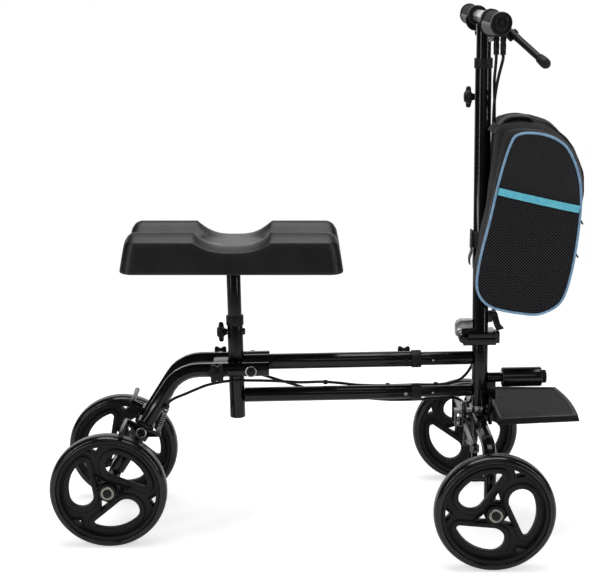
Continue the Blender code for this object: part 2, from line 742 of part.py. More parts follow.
def make_wheel():
    """A pierced web between the rim, which seats the tyre, and the hub, which turns on the axle."""
    rim_outer = TYRE_INNER_RADIUS - FIT
    rim_inner = rim_outer - RIM_DEPTH
    outlines = [circle((rim_outer + rim_inner) / 2, WHEEL_ROUND), circle(HUB_RADIUS - WEB_SEAT, 6)]
    for i in range(WINDOW_COUNT):
        phase = tau * i / WINDOW_COUNT
        outlines += [window_outline(phase), pocket_outline(phase), rim_gap_outline(phase)]
    web = outline_plate(outlines, WEB_THICKNESS, "XZ")
    rim = tube(rim_outer, rim_inner, -RIM_WIDTH / 2, RIM_WIDTH / 2, "Y", WHEEL_ROUND)
    hub = tube(HUB_RADIUS, AXLE_BOLT_RADIUS + RUN, -HUB_WIDTH / 2, HUB_WIDTH / 2, "Y", 14)
    return joined(web, rim, hub)


def make_tyre():
    """A solid tyre whose flats, not its corners, lie at its stated radii."""
    outward = 1 / cos(pi / WHEEL_ROUND)
    outer = WHEEL_RADIUS * outward
    inner = TYRE_INNER_RADIUS * outward
    shoulder = (WHEEL_RADIUS - TYRE_SHOULDER_DROP) * outward
    profile = [
        (outer, TREAD_WIDTH / 2),
        (outer, -TREAD_WIDTH / 2),
        (shoulder, -TYRE_WIDTH / 2),
        (inner, -TYRE_BASE_WIDTH / 2),
        (inner, TYRE_BASE_WIDTH / 2),
        (shoulder, TYRE_WIDTH / 2),
    ]
    return turned(profile, "Y", WHEEL_ROUND, ring=True)


def add_wheels():
    wheel = make_wheel()
    tyre = make_tyre()
    corners = (
        ("front_right", "right_knuckle", (0, -FRONT_TRACK / 2, 0), FRONT_RIGHT_PHASE),
        ("front_left", "left_knuckle", (0, FRONT_TRACK / 2, 0), FRONT_LEFT_PHASE),
        ("rear_right", "rear_wheels", REAR_AXLE - Vector((0, REAR_TRACK / 2, 0)), REAR_RIGHT_PHASE),
        ("rear_left", "rear_wheels", REAR_AXLE + Vector((0, REAR_TRACK / 2, 0)), REAR_LEFT_PHASE),
    )
    flat_down = FRAME_PITCH + pi / WHEEL_ROUND
    for name, group, at, phase in corners:
        web = finish(copy_of(wheel), f"{name}_wheel", BLACK_PLASTIC)
        place(web, group, at, (0, -phase, 0))
        ring = finish(copy_of(tyre), f"{name}_tyre", TYRE_RUBBER)
        place(ring, group, at, (0, flat_down, 0))


def front_axle_bolt(side):
    """A shouldered bolt from the knuckle out through the wheel, as a profile along Y."""
    inner = -KNUCKLE_RADIUS - FIT
    shoulder = KNUCKLE_RADIUS + FIT
    hub_in = FRONT_TRACK / 2 - KINGPIN_Y - HUB_WIDTH / 2 - FIT
    hub_out = FRONT_TRACK / 2 - KINGPIN_Y + HUB_WIDTH / 2 + FIT
    profile = [
        (0, hub_out + AXLE_NUT_DEPTH),
        (AXLE_NUT_RADIUS, hub_out + AXLE_NUT_DEPTH),
        (AXLE_NUT_RADIUS, hub_out),
        (AXLE_BOLT_RADIUS, hub_out),
        (AXLE_BOLT_RADIUS, hub_in),
        (AXLE_NUT_RADIUS, hub_in),
        (AXLE_NUT_RADIUS, shoulder),
        (AXLE_BOLT_RADIUS, shoulder),
        (AXLE_BOLT_RADIUS, inner),
        (AXLE_NUT_RADIUS, inner),
        (AXLE_NUT_RADIUS, inner - AXLE_NUT_DEPTH),
        (0, inner - AXLE_NUT_DEPTH),
    ]
    bolt = turned(profile, "Y", SMALL_ROUND)
    if side < 0:
        moved(bolt, matrix=Matrix.Rotation(pi, 4, "Z"))
    return bolt


def add_axles():
    for name, side in (("right", -1), ("left", 1)):
        bolt = finish(front_axle_bolt(side), f"front_{name}_axle_bolt", ZINC)
        place(bolt, f"{name}_knuckle", (0, side * KINGPIN_Y, 0))
    hub_out = REAR_TRACK / 2 + HUB_WIDTH / 2 + FIT
    end = hub_out + AXLE_NUT_DEPTH
    profile = [
        (0, end), (AXLE_NUT_RADIUS, end), (AXLE_NUT_RADIUS, hub_out), (AXLE_BOLT_RADIUS, hub_out),
        (AXLE_BOLT_RADIUS, -hub_out), (AXLE_NUT_RADIUS, -hub_out), (AXLE_NUT_RADIUS, -end), (0, -end),
    ]
    place(finish(turned(profile, "Y", SMALL_ROUND), "rear_axle_shaft", ZINC), "rear_wheels", REAR_AXLE)
    half = REAR_TRACK / 2 - HUB_WIDTH / 2 - FIT
    beam = tube(AXLE_BEAM_RADIUS, AXLE_BOLT_RADIUS + RUN, -half, half, "Y")
    place(finish(beam, "rear_axle_beam", BLACK_PAINT), "rear_wheels", REAR_AXLE)


# Rear frame: seat tube and the two sleeves that the front beams slide in
def collar(sleeve_radius, bar_radius):
    """A plastic end cap: it holds the sleeve's mouth and guides the bar that slides in it."""
    outer = sleeve_radius + COLLAR_WALL
    body = COLLAR_LENGTH - COLLAR_LIP
    profile = [
        (outer, COLLAR_LIP),
        (outer, -body),
        (sleeve_radius + FIT, -body),
        (sleeve_radius + FIT, FIT),
        (bar_radius + FIT, FIT),
        (bar_radius + FIT, COLLAR_LIP),
    ]
    return profile


def add_rear_frame():
    seat_bore = KNEE_POST_RADIUS + FIT
    seat = tube(SEAT_TUBE_RADIUS, seat_bore, 0, SEAT_TUBE_LENGTH)
    moved(seat, (0, 0, SEAT_TUBE_BOTTOM_Z))
    lug_half = LEG_Y - LEG_RADIUS - FIT
    lug = block(
        (-LOCK_LUG_REAR, -lug_half, LEG_TOP_Z - LOCK_LUG_HALF_HEIGHT),
        (-seat_bore - RUN, lug_half, LEG_TOP_Z + LOCK_LUG_HALF_HEIGHT),
        LOCK_LUG_BEVEL,
    )
    seat = joined(seat, lug)
    place(finish(seat, "seat_tube", BLACK_PAINT), "rear_frame", (SEAT_X, 0, 0))

    start = SEAT_X + SEAT_TUBE_RADIUS + FIT
    upper = tube(UPPER_SLEEVE_RADIUS, UPPER_BAR_RADIUS + FIT, start, SLEEVE_FRONT_X, "X")
    upper = cut(upper, moved(cross_hole(LEG_PIVOT_BOLT_RADIUS), (LEG_PIVOT_X, 0, -LEG_DROP)))
    place(finish(upper, "upper_beam_sleeve", BLACK_PAINT), "rear_frame", (0, 0, UPPER_BEAM_Z))
    lower = tube(LOWER_SLEEVE_RADIUS, LOWER_BAR_RADIUS + FIT, start, SLEEVE_FRONT_X, "X")
    place(finish(lower, "lower_beam_sleeve", BLACK_PAINT), "rear_frame", (0, 0, LOWER_BEAM_Z))

    ends = (
        ("upper_beam_collar", UPPER_SLEEVE_RADIUS, UPPER_BAR_RADIUS, "X", (SLEEVE_FRONT_X, 0, UPPER_BEAM_Z)),
        ("lower_beam_collar", LOWER_SLEEVE_RADIUS, LOWER_BAR_RADIUS, "X", (SLEEVE_FRONT_X, 0, LOWER_BEAM_Z)),
        ("seat_tube_collar", SEAT_TUBE_RADIUS, KNEE_POST_RADIUS, "Z", (SEAT_X, 0, SEAT_TUBE_TOP_Z)),
    )
    for name, sleeve, bar, along, at in ends:
        ring = turned(collar(sleeve, bar), along, ring=True)
        place(finish(ring, name, BLACK_PLASTIC), "rear_frame", at)


def add_leg_pivot_bolt():
    """The bolt that both legs turn on, with a domed cap on each side."""
    seat = LEG_Y + LEG_RADIUS + FIT
    edge = seat + LEG_PIVOT_HEAD_EDGE
    half_up = radians(45)
    profile = [
        (0, edge + LEG_PIVOT_HEAD_HEIGHT),
        (LEG_PIVOT_HEAD_RADIUS * cos(half_up), edge + LEG_PIVOT_HEAD_HEIGHT * sin(half_up)),
        (LEG_PIVOT_HEAD_RADIUS, edge),
        (LEG_PIVOT_HEAD_RADIUS, seat),
        (LEG_PIVOT_BOLT_RADIUS, seat),
    ]
    profile += [(r, -z) for r, z in reversed(profile)]
    bolt = turned(profile, "Y", 14)
    place(finish(bolt, "leg_pivot_bolt", BLACK_PLASTIC), "rear_frame", (LEG_PIVOT_X, 0, LEG_TOP_Z))


# Star knobs
def make_knob():
    """A lobed knob on +Z, whose boss starts at the origin, on the tube that it clamps."""
    count = KNOB_LOBES * 4
    outline = []
    for i in range(count):
        angle = tau * i / count
        radius = KNOB_RADIUS - KNOB_LOBE_DEPTH * (1 - cos(KNOB_LOBES * angle))
        outline.append(polar(radius, angle))
    middle = KNOB_BOSS_LENGTH + KNOB_THICKNESS / 2
    star = moved(outline_plate([outline], KNOB_THICKNESS), (0, 0, middle))
    boss = rod(KNOB_FOOT_RADIUS, middle, "Z", 0, 12, KNOB_BOSS_RADIUS)
    return joined(star, boss)


def add_knobs():
    side_seat = LEG_Y + LEG_RADIUS + FIT
    knobs = (
        ("column_knob", "column_knob", (-COLUMN_RADIUS - FIT, 0, COLUMN_KNOB_Z), (-1, 0, 0)),
        ("seat_knob", "seat_knob", (SEAT_X - SEAT_TUBE_RADIUS - FIT, 0, SEAT_KNOB_Z), (-1, 0, 0)),
        ("beam_knob", "beam_knob", (BEAM_KNOB_X, UPPER_SLEEVE_RADIUS + FIT, UPPER_BEAM_Z), (0, 1, 0)),
        ("leg_knob_right", "leg_knobs", (LEG_LOCK_X, -side_seat, LEG_TOP_Z), (0, -1, 0)),
        ("leg_knob_left", "leg_knobs", (LEG_LOCK_X, side_seat, LEG_TOP_Z), (0, 1, 0)),
    )
    for name, group, at, direction in knobs:
        knob = moved(make_knob(), matrix=facing(direction))
        place(finish(knob, name, BLACK_PLASTIC), group, at)


# Rear legs and brakes
def leg_path():
    """Along the beam, round the bend and down to the axle beam, in the leg's own plane."""
    turn = pi / 2 - LEG_LEAN
    tangent = LEG_BEND * tan(turn / 2)
    bend_start = LEG_CORNER_X + tangent
    centre = (bend_start, LEG_TOP_Z - LEG_BEND)
    points = [(LEG_FRONT_X, LEG_TOP_Z)]
    points += arc(centre, LEG_BEND, pi / 2, pi / 2 + turn, 6)
    foot = REAR_AXLE + LEG_DIRECTION * (AXLE_BEAM_RADIUS + FIT)
    points.append((foot.x, foot.z))
    return [Vector((x, 0, z)) for x, z in points]


def brake_frame():
    """Axes at the brake pivot: +Z up the leg, +X forward and down from it."""
    return Matrix.Translation(BRAKE_PIVOT) @ Matrix.Rotation(LEG_LEAN, 4, "Y")


def make_leg():
    """The left leg: a bent tube with its brake housing, the brake's pin and the cable stop on its tab."""
    leg = pipe(leg_path(), LEG_RADIUS, LEG_WALL, 3)
    wide = LEG_RADIUS + BRAKE_HOUSING_WALL
    housing = block(
        (-wide, -wide, -BRAKE_HOUSING_BELOW),
        (wide, wide, BRAKE_HOUSING_ABOVE),
        BRAKE_HOUSING_BEVEL,
    )
    moved(housing, matrix=brake_frame())
    head_y = BRAKE_ARM_Y + BRAKE_ARM_THICKNESS + FIT
    pin_start = LEG_RADIUS - LEG_WALL / 2
    pin = rod(BRAKE_PIN_RADIUS, head_y + WELD - pin_start, "Y", pin_start, SMALL_ROUND)
    pin_head = rod(
        BRAKE_PIN_HEAD_RADIUS, BRAKE_PIN_HEAD_HEIGHT, "Y", head_y, 12, BRAKE_PIN_HEAD_TOP_RADIUS)
    tab = block(STOP_TAB_LOW, STOP_TAB_HIGH)
    barrel = rod(CABLE_STOP_RADIUS, CABLE_STOP_LENGTH, "Z", -CABLE_STOP_LENGTH / 2, SMALL_ROUND)
    for piece in (pin, pin_head):
        moved(piece, BRAKE_PIVOT)
    for piece in (tab, barrel):
        moved(piece, matrix=stop_matrix())
    leg = joined(leg, housing, pin, pin_head, tab, barrel)
    leg = cut(leg, moved(cross_hole(LEG_PIVOT_BOLT_RADIUS), (LEG_PIVOT_X, 0, LEG_TOP_Z)))
    return moved(leg, -Vector((LEG_PIVOT_X, 0, LEG_TOP_Z)))


def add_legs():
    for name, side in (("right", -1), ("left", 1)):
        leg = make_leg()
        if side < 0:
            mirror_y(leg)
        finish(leg, f"rear_leg_{name}", BLACK_PAINT)
        place(leg, "rear_legs", (LEG_PIVOT_X, side * LEG_Y, LEG_TOP_Z))


def mirror_y(obj):
    """Mirror a piece in its own XZ plane and turn its faces out again."""
    obj.data.transform(Matrix.Scale(-1, 4, (0, 1, 0)))
    obj.data.flip_normals()
    return obj


def spring_foot():
    """Where the return spring stands on the brake arm's ledge, outboard of the leg's middle plane."""
    lean_room = (SPRING_RADIUS + SPRING_WIRE_RADIUS) * sin(SPRING_LEAN)
    rise = BRAKE_LEDGE_THICKNESS - BRAKE_ARM_DROP + lean_room
    return BRAKE_PIVOT + Vector((BRAKE_ARM_REACH, LEG_RADIUS + SPRING_SIDE_GAP, rise))


def stop_matrix():
    """Axes of the cable stop: at the top of the spring, in line with it."""
    top = spring_foot() + SPRING_DIRECTION * (SPRING_LENGTH + CABLE_STOP_LENGTH / 2)
    return Matrix.Translation(top) @ Matrix.Rotation(SPRING_LEAN, 4, "Y")


def make_brake_arm():
    """The left arm: a plate on the brake pin, a ledge for the spring and the bar that meets the tyre."""
    shoe_radius = WHEEL_RADIUS + BRAKE_SHOE_CLEARANCE + BRAKE_SHOE_RADIUS
    shoe = REAR_AXLE + Vector((cos(BRAKE_SHOE_ANGLE), 0, sin(BRAKE_SHOE_ANGLE))) * shoe_radius
    reach = shoe - BRAKE_PIVOT
    start = BRAKE_ARM_REACH - BRAKE_LEDGE_HALF_LENGTH
    end = BRAKE_ARM_REACH + BRAKE_LEDGE_HALF_LENGTH
    low = -BRAKE_ARM_DROP
    eye_start = atan2(reach.z, reach.x) + pi / 2
    outline = arc((0, 0), BRAKE_ARM_EYE_RADIUS, eye_start, 3 * pi / 2, 5)
    outline += [(end, low - BRAKE_ARM_RIB), (end, low + BRAKE_LEDGE_THICKNESS), BRAKE_ARM_SHOULDER]
    outline += [(reach.x + x, reach.z + z) for x, z in BRAKE_ARM_TIP]
    plate = outline_plate([outline], BRAKE_ARM_THICKNESS, "XZ")
    moved(plate, (0, BRAKE_ARM_Y + BRAKE_ARM_THICKNESS / 2, 0))
    inner = LEG_RADIUS + SPRING_SIDE_GAP - BRAKE_LEDGE_HALF_LENGTH
    outer = BRAKE_ARM_Y + BRAKE_ARM_THICKNESS / 2
    ledge = block((start, inner, low), (end - FIT, outer, low + BRAKE_LEDGE_THICKNESS - FIT))
    bar_end = REAR_TRACK / 2 + TYRE_WIDTH / 2 - LEG_Y
    bar = rod(BRAKE_SHOE_RADIUS, bar_end - BRAKE_ARM_Y, "Y", BRAKE_ARM_Y, 12)
    arm = joined(plate, ledge, moved(bar, (reach.x, 0, reach.z)))
    return cut(arm, cross_hole(BRAKE_PIN_RADIUS))


def add_brakes():
    for name, side in (("right", -1), ("left", 1)):
        arm = make_brake_arm()
        spring = make_spring()
        if side < 0:
            mirror_y(arm)
            mirror_y(spring)
        at = BRAKE_PIVOT + Vector((0, side * LEG_Y, 0))
        place(finish(arm, f"brake_arm_{name}", BLACK_PLASTIC), "brake_arms", at)
        place(finish(spring, f"brake_spring_{name}", ZINC), "brake_arms", at)


def make_spring():
    """An open coil, as one unbroken wire from the arm's ledge to the cable stop."""
    points = []
    per_coil = 7
    height = SPRING_LENGTH - 2 * SPRING_WIRE_RADIUS - 2 * FIT
    for i in range(SPRING_COILS * per_coil + 1):
        turn = i / per_coil
        around = tau * turn
        rise = height * turn / SPRING_COILS
        points.append(Vector((SPRING_RADIUS * cos(around), SPRING_RADIUS * sin(around), rise)))
    gap = min((a - b).length for i, a in enumerate(points) for b in points[i + per_coil // 2 + 1:])
    print(f"spring: {SPRING_COILS} coils, least gap to itself {1000 * (gap - 2 * SPRING_WIRE_RADIUS):.2f} mm")
    wire = swept(points, SPRING_WIRE_RADIUS, 1)
    foot = spring_foot() - BRAKE_PIVOT + SPRING_DIRECTION * (SPRING_WIRE_RADIUS + FIT)
    return moved(wire, foot, Matrix.Rotation(SPRING_LEAN, 4, "Y"))


# Knee post and pad
def add_seat():
    """The knee post, and the plate and the pad on it, which lie level although the frame is tipped."""
    top = PAD_BOTTOM_Z - PAD_PLATE_THICKNESS - 2 * FIT
    bottom = SEAT_TUBE_TOP_Z - KNEE_POST_INSERTION
    post = tube(KNEE_POST_RADIUS, KNEE_POST_RADIUS - KNEE_POST_WALL, bottom, top)
    moved(post, (0, 0, -SEAT_TUBE_TOP_Z))
    place(finish(post, "knee_post", BLACK_PAINT), "seat", (SEAT_X, 0, SEAT_TUBE_TOP_Z))
    level = Matrix.Rotation(FRAME_PITCH, 4, "Y")
    lift = KNEE_POST_RADIUS * sin(FRAME_PITCH)
    plate = block(
        (-PAD_PLATE_LENGTH / 2, -PAD_PLATE_WIDTH / 2, -PAD_PLATE_THICKNESS - FIT),
        (PAD_PLATE_LENGTH / 2, PAD_PLATE_WIDTH / 2, -FIT),
    )
    moved(plate, (-PAD_OFFSET, 0, lift), level)
    place(finish(plate, "pad_plate", BLACK_PAINT), "seat", PAD_PIVOT)
    pad = moved(make_pad(), (0, 0, lift), level)
    place(finish(pad, "knee_pad", PAD_SKIN), "seat", PAD_PIVOT)


def pad_top(x, y):
    """Height of the saddle over its underside: two ridges, a cross dip and a long trough."""
    floor = PAD_HEIGHT - PAD_TROUGH_DEPTH
    from_dip = abs(x - PAD_DIP_CENTRE) / PAD_DIP_HALF
    ridge = 1 if from_dip >= 1 else 1 - cos(from_dip ** PAD_DIP_POWER * pi / 2)
    across = sin(min(abs(y) / PAD_CREST_Y, 1) * pi / 2) ** 2
    height = floor + PAD_TROUGH_DEPTH * ridge * across
    outside = max(abs(y) - PAD_CREST_Y, 0) / (PAD_WIDTH / 2 - PAD_SIDE_DRAFT - PAD_CREST_Y)
    drop = PAD_SHOULDER_LEAST + (PAD_SHOULDER_DROP - PAD_SHOULDER_LEAST) * ridge * across
    return height - drop * outside ** PAD_SHOULDER_POWER


def make_pad():
    """A grid pulled up to the saddle's shape, drawn out to its drafted sides and closed below."""
    half_l = PAD_LENGTH / 2 - PAD_SIDE_DRAFT
    half_w = PAD_WIDTH / 2 - PAD_SIDE_DRAFT
    bm = bmesh.new()
    bmesh.ops.create_grid(bm, x_segments=PAD_STEPS_ALONG, y_segments=PAD_STEPS_ACROSS, size=1)
    for vert in bm.verts:
        x = abs(vert.co.x) * half_l
        y = abs(vert.co.y) * half_w
        past = Vector((max(x - half_l + PAD_CORNER_RADIUS, 0), max(y - half_w + PAD_CORNER_RADIUS, 0)))
        excess = 0 if past.length <= PAD_CORNER_RADIUS else 1 - PAD_CORNER_RADIUS / past.length
        x = copysign(x - past.x * excess, vert.co.x)
        y = copysign(y - past.y * excess, vert.co.y)
        inside = min((half_l - abs(x)) / PAD_END_ROUND, 1)
        vert.co = (x, y, pad_top(x, y) - PAD_END_DROP * (1 - inside) ** 2)
    border = [e for e in bm.edges if e.is_boundary]
    steps = ((PAD_SIDE_DRAFT - PAD_SIDE_BREAK, PAD_SIDE_BREAK_HEIGHT), (PAD_SIDE_BREAK, 0))
    for outward, height in steps:
        made = bmesh.ops.extrude_edge_only(bm, edges=border)["geom"]
        border = [g for g in made if isinstance(g, bmesh.types.BMEdge) and g.is_boundary]
        for vert in [g for g in made if isinstance(g, bmesh.types.BMVert)]:
            direction = Vector((vert.co.x / half_l, vert.co.y / half_w, 0)).normalized()
            vert.co.x += outward * direction.x
            vert.co.y += outward * direction.y
            vert.co.z *= height
    bmesh.ops.holes_fill(bm, edges=border)
    bmesh.ops.recalc_face_normals(bm, faces=bm.faces)
    return mesh_object(bm)


# Front frame
def add_front_frame():
    head = tube(HEAD_TUBE_RADIUS, STEM_RADIUS + RUN, HEAD_TUBE_BOTTOM_Z, HEAD_TUBE_TOP_Z)
    moved(head, (0, 0, -LOWER_BEAM_Z))
    place(finish(head, "head_tube", BLACK_PAINT), "front_frame", (0, 0, LOWER_BEAM_Z))
    rear_end = SLEEVE_FRONT_X - BAR_OVERLAP
    front_end = -HEAD_TUBE_RADIUS - FIT
    bars = (("upper", UPPER_BAR_RADIUS, UPPER_BEAM_Z), ("lower", LOWER_BAR_RADIUS, LOWER_BEAM_Z))
    for name, radius, z in bars:
        bar = tube(radius, radius - BAR_WALL, rear_end, front_end, "X")
        place(finish(bar, f"{name}_beam_bar", BLACK_PAINT), "front_frame", (0, 0, z))
    add_front_axle()
    add_footplate()
    add_front_grip()


def front_axle_path():
    """Across under the head tube and down to each kingpin."""
    inner = KINGPIN_Y - AXLE_TUBE_BEND
    bend_z = AXLE_TUBE_Z - AXLE_TUBE_BEND
    half = [(KINGPIN_Y, AXLE_TUBE_END_Z)] + arc((inner, bend_z), AXLE_TUBE_BEND, 0, pi / 2, 6)
    return [Vector((0, y, z)) for y, z in half] + [Vector((0, -y, z)) for y, z in reversed(half)]


def add_front_axle():
    arch = swept(front_axle_path(), AXLE_TUBE_RADIUS, 3)
    for side in (-1, 1):
        bore = rod(KINGPIN_RADIUS + RUN, KINGPIN_INSERTION + 2 * WELD, "Z", AXLE_TUBE_END_Z - WELD, 12)
        arch = cut(arch, moved(bore, (0, side * KINGPIN_Y, 0)))
    moved(arch, (0, 0, -AXLE_TUBE_Z))
    place(finish(arch, "front_axle", BLACK_PAINT), "front_frame", (0, 0, AXLE_TUBE_Z))


def footplate_outline():
    """Straight at the rear, tapering a little, with a bowed front edge."""
    front = FOOTPLATE_FRONT_X - FOOTPLATE_BOW
    half = FOOTPLATE_FRONT_HALF_WIDTH
    bow = []
    for i in range(9):
        y = -half + 2 * half * i / 8
        bow.append((front + FOOTPLATE_BOW * (1 - (y / half) ** 2), y))
    rear_half = FOOTPLATE_REAR_HALF_WIDTH
    return [(FOOTPLATE_REAR_X, -rear_half), *bow, (FOOTPLATE_REAR_X, rear_half)]


def add_footplate():
    plate = outline_plate([footplate_outline()], FOOTPLATE_THICKNESS)
    at = (0, 0, FOOTPLATE_TOP_Z - FOOTPLATE_THICKNESS / 2)
    place(finish(plate, "footplate", BLACK_PLASTIC), "front_frame", at)
    add_footplate_bracket()


def add_footplate_bracket():
    """The bracket that carries the footplate, the padded grip's spindle and the front axle tube."""
    start = HEAD_TUBE_RADIUS + FIT
    inside = start + WELD
    front = BRACKET_FRONT_X
    half = BRACKET_HALF_WIDTH
    rib = BRACKET_RIB_WIDTH / 2
    under = FOOTPLATE_TOP_Z - FOOTPLATE_THICKNESS - FIT
    axle_top = AXLE_TUBE_Z + AXLE_TUBE_RADIUS
    spine = block((start, -half, BRACKET_BOTTOM_Z), (FOOTPLATE_REAR_X - FIT, half, GRIP_ARM_Z - WELD))
    blocks = (
        block((BRACKET_REAR_X, -half, BRACKET_BOTTOM_Z), (inside, half, axle_top)),
        block((inside, -half, FOOTPLATE_TOP_Z + FIT), (front, half, BRACKET_TOP_Z)),
        block((inside, -rib, BRACKET_RIB_START_Z), (front - WELD, rib, GRIP_ARM_Z)),
        block((inside, -half, under - BRACKET_SHELF), (front, half, under)),
    )
    arm = rod(GRIP_ARM_RADIUS, ROLLER_REAR_X - FIT - start, "X", start)
    spindle = rod(GRIP_SPINDLE_RADIUS, ROLLER_REAR_X + ROLLER_BORE_END - WELD - inside, "X", inside, 12)
    for piece in (arm, spindle):
        moved(piece, (0, 0, GRIP_ARM_Z))
    bracket = joined(spine, *blocks, arm, spindle)
    seat = rod(AXLE_TUBE_RADIUS + FIT, 4 * half, "Y", -2 * half, 24)
    bracket = cut(bracket, moved(seat, (0, 0, AXLE_TUBE_Z)))
    moved(bracket, (0, 0, -GRIP_ARM_Z))
    place(finish(bracket, "footplate_bracket", BLACK_PAINT), "front_frame", (0, 0, GRIP_ARM_Z))


def add_front_grip():
    """A padded sleeve on the spindle, with its end knob in one piece."""
    inner = GRIP_SPINDLE_RADIUS + FIT
    end = ROLLER_LENGTH + ROLLER_KNOB_LENGTH
    profile = [
        (0, end),
        (ROLLER_KNOB_RADIUS - ROLLER_KNOB_EDGE, end),
        (ROLLER_KNOB_RADIUS, end - ROLLER_KNOB_EDGE),
        (ROLLER_KNOB_RADIUS, ROLLER_LENGTH),
        (ROLLER_RADIUS - ROLLER_EDGE, ROLLER_LENGTH),
        (ROLLER_RADIUS, ROLLER_LENGTH - ROLLER_EDGE),
        (ROLLER_RADIUS, ROLLER_EDGE),
        (ROLLER_RADIUS - ROLLER_EDGE, 0),
        (inner, 0),
        (inner, ROLLER_BORE_END),
        (0, ROLLER_BORE_END),
    ]
    roller = turned(profile, "X")
    place(finish(roller, "front_grip", BLACK_RUBBER), "front_frame", (ROLLER_REAR_X, 0, GRIP_ARM_Z))


# Steering
def add_steering():
    """The stem in the head tube, then the arm, the tie rod and the knuckles that it turns."""
    plate_low = STEERING_ARM_TOP_Z - ARM_PLATE_THICKNESS
    profile = [
        (0, STEM_TOP_Z),
        (STEM_RADIUS, STEM_TOP_Z),
        (STEM_RADIUS, HEAD_TUBE_BOTTOM_Z - FIT),
        (STEM_FLANGE_RADIUS, HEAD_TUBE_BOTTOM_Z - FIT),
        (STEM_FLANGE_RADIUS, STEERING_ARM_TOP_Z + FIT),
        (STEM_NECK_RADIUS, STEERING_ARM_TOP_Z + FIT),
        (STEM_NECK_RADIUS, plate_low),
        (0, plate_low),
    ]
    stem = moved(turned(profile), (0, 0, -AXLE_TUBE_Z))
    place(finish(stem, "steering_stem", ZINC), "steering", (0, 0, AXLE_TUBE_Z))
    add_steering_arm()
    add_tie_rod()
    add_knuckles()


def add_steering_arm():
    """A bent plate under the head tube: it wraps round behind the tie rod and holds it on a pin."""
    top = STEERING_ARM_TOP_Z
    low = top - ARM_PLATE_THICKNESS
    half = STEERING_ARM_HALF_WIDTH
    back = -STEERING_ARM_LENGTH - TIE_ROD_EYE_RADIUS - ARM_WEB_CLEARANCE - ARM_WEB_THICKNESS
    shelf_top = TIE_ROD_Z - TIE_ROD_EYE_HEIGHT / 2 - RUN
    shelf_low = shelf_top - ARM_PLATE_THICKNESS
    outline = arc((0, 0), half, pi / 2, -pi / 2, 9) + [(back, -half), (back, half)]
    plate = outline_plate([outline], ARM_PLATE_THICKNESS)
    moved(plate, (0, 0, (top + low) / 2))
    web_half = half - FIT
    web = block((back, -web_half, shelf_low), (back + ARM_WEB_THICKNESS, web_half, top - FIT))
    shelf_half = web_half - FIT
    shelf = block(
        (back + FIT, -shelf_half, shelf_low + FIT),
        (-AXLE_TUBE_RADIUS - ARM_SHELF_GAP, shelf_half, shelf_top),
    )
    link = rod(LINK_PIN_RADIUS, low - shelf_low, "Z", shelf_low + WELD, SMALL_ROUND)
    sleeve_low = TIE_ROD_Z + TIE_ROD_EYE_HEIGHT / 2 + RUN
    sleeve = rod(LINK_SLEEVE_RADIUS, LINK_SLEEVE_TOP_Z - sleeve_low, "Z", sleeve_low, 12)
    for piece in (link, sleeve):
        moved(piece, (-STEERING_ARM_LENGTH, 0, 0))
    arm = joined(plate, web, shelf, link, sleeve)
    arm = cut(arm, rod(STEM_NECK_RADIUS + FIT, 2 * AXLE_TUBE_Z, "Z", 0))
    moved(arm, (0, 0, -AXLE_TUBE_Z))
    place(finish(arm, "steering_arm", ZINC), "steering", (0, 0, AXLE_TUBE_Z))


def add_tie_rod():
    """A bar with an eye on the steering arm's pin and one on each knuckle's pin."""
    bar = rod(TIE_ROD_RADIUS, 2 * KINGPIN_Y, "Y", -KINGPIN_Y, 10)
    eye_low = -TIE_ROD_EYE_HEIGHT / 2
    ends = (-KINGPIN_Y, 0, KINGPIN_Y)
    for y in ends:
        eye = rod(TIE_ROD_EYE_RADIUS, TIE_ROD_EYE_HEIGHT, "Z", eye_low, 10)
        bar = joined(bar, moved(eye, (0, y, 0)))
    for y in ends:
        hole = rod(LINK_PIN_RADIUS + RUN, 2 * TIE_ROD_EYE_HEIGHT, "Z", 2 * eye_low, 8)
        bar = cut(bar, moved(hole, (0, y, 0)))
    place(finish(bar, "tie_rod", ZINC), "tie_rod", (-STEERING_ARM_LENGTH, 0, TIE_ROD_Z))


def add_knuckles():
    """Each knuckle: a leg under the axle tube, its kingpin, and an arm behind it up to the tie rod."""
    top = AXLE_TUBE_END_Z - FIT
    arm_low = top - KNUCKLE_ARM_DROP
    back = -STEERING_ARM_LENGTH
    half = KNUCKLE_ARM_WIDTH / 2
    post_half = KNUCKLE_POST_WIDTH / 2
    post_top = TIE_ROD_Z - TIE_ROD_EYE_HEIGHT / 2 - RUN
    pin_length = WELD + RUN + TIE_ROD_EYE_HEIGHT + LINK_PIN_STAND_OUT
    for name, side in (("right", -1), ("left", 1)):
        leg = rod(KNUCKLE_RADIUS, top - KNUCKLE_BOTTOM_Z, "Z", KNUCKLE_BOTTOM_Z)
        kingpin = rod(KINGPIN_RADIUS, KINGPIN_INSERTION + WELD, "Z", top - WELD, 12)
        foot = block((back - half, -half, arm_low), (0, half, arm_low + KNUCKLE_ARM_DEPTH))
        post = block((back - post_half, -post_half, arm_low + WELD), (back + post_half, post_half, post_top))
        pin = rod(LINK_PIN_RADIUS, pin_length, "Z", post_top - WELD, SMALL_ROUND)
        leg = joined(leg, kingpin, foot, post, moved(pin, (back, 0, 0)))
        leg = cut(leg, cross_hole(AXLE_BOLT_RADIUS, 12))
        place(finish(leg, f"{name}_knuckle", BLACK_PAINT), f"{name}_knuckle", (0, side * KINGPIN_Y, 0))


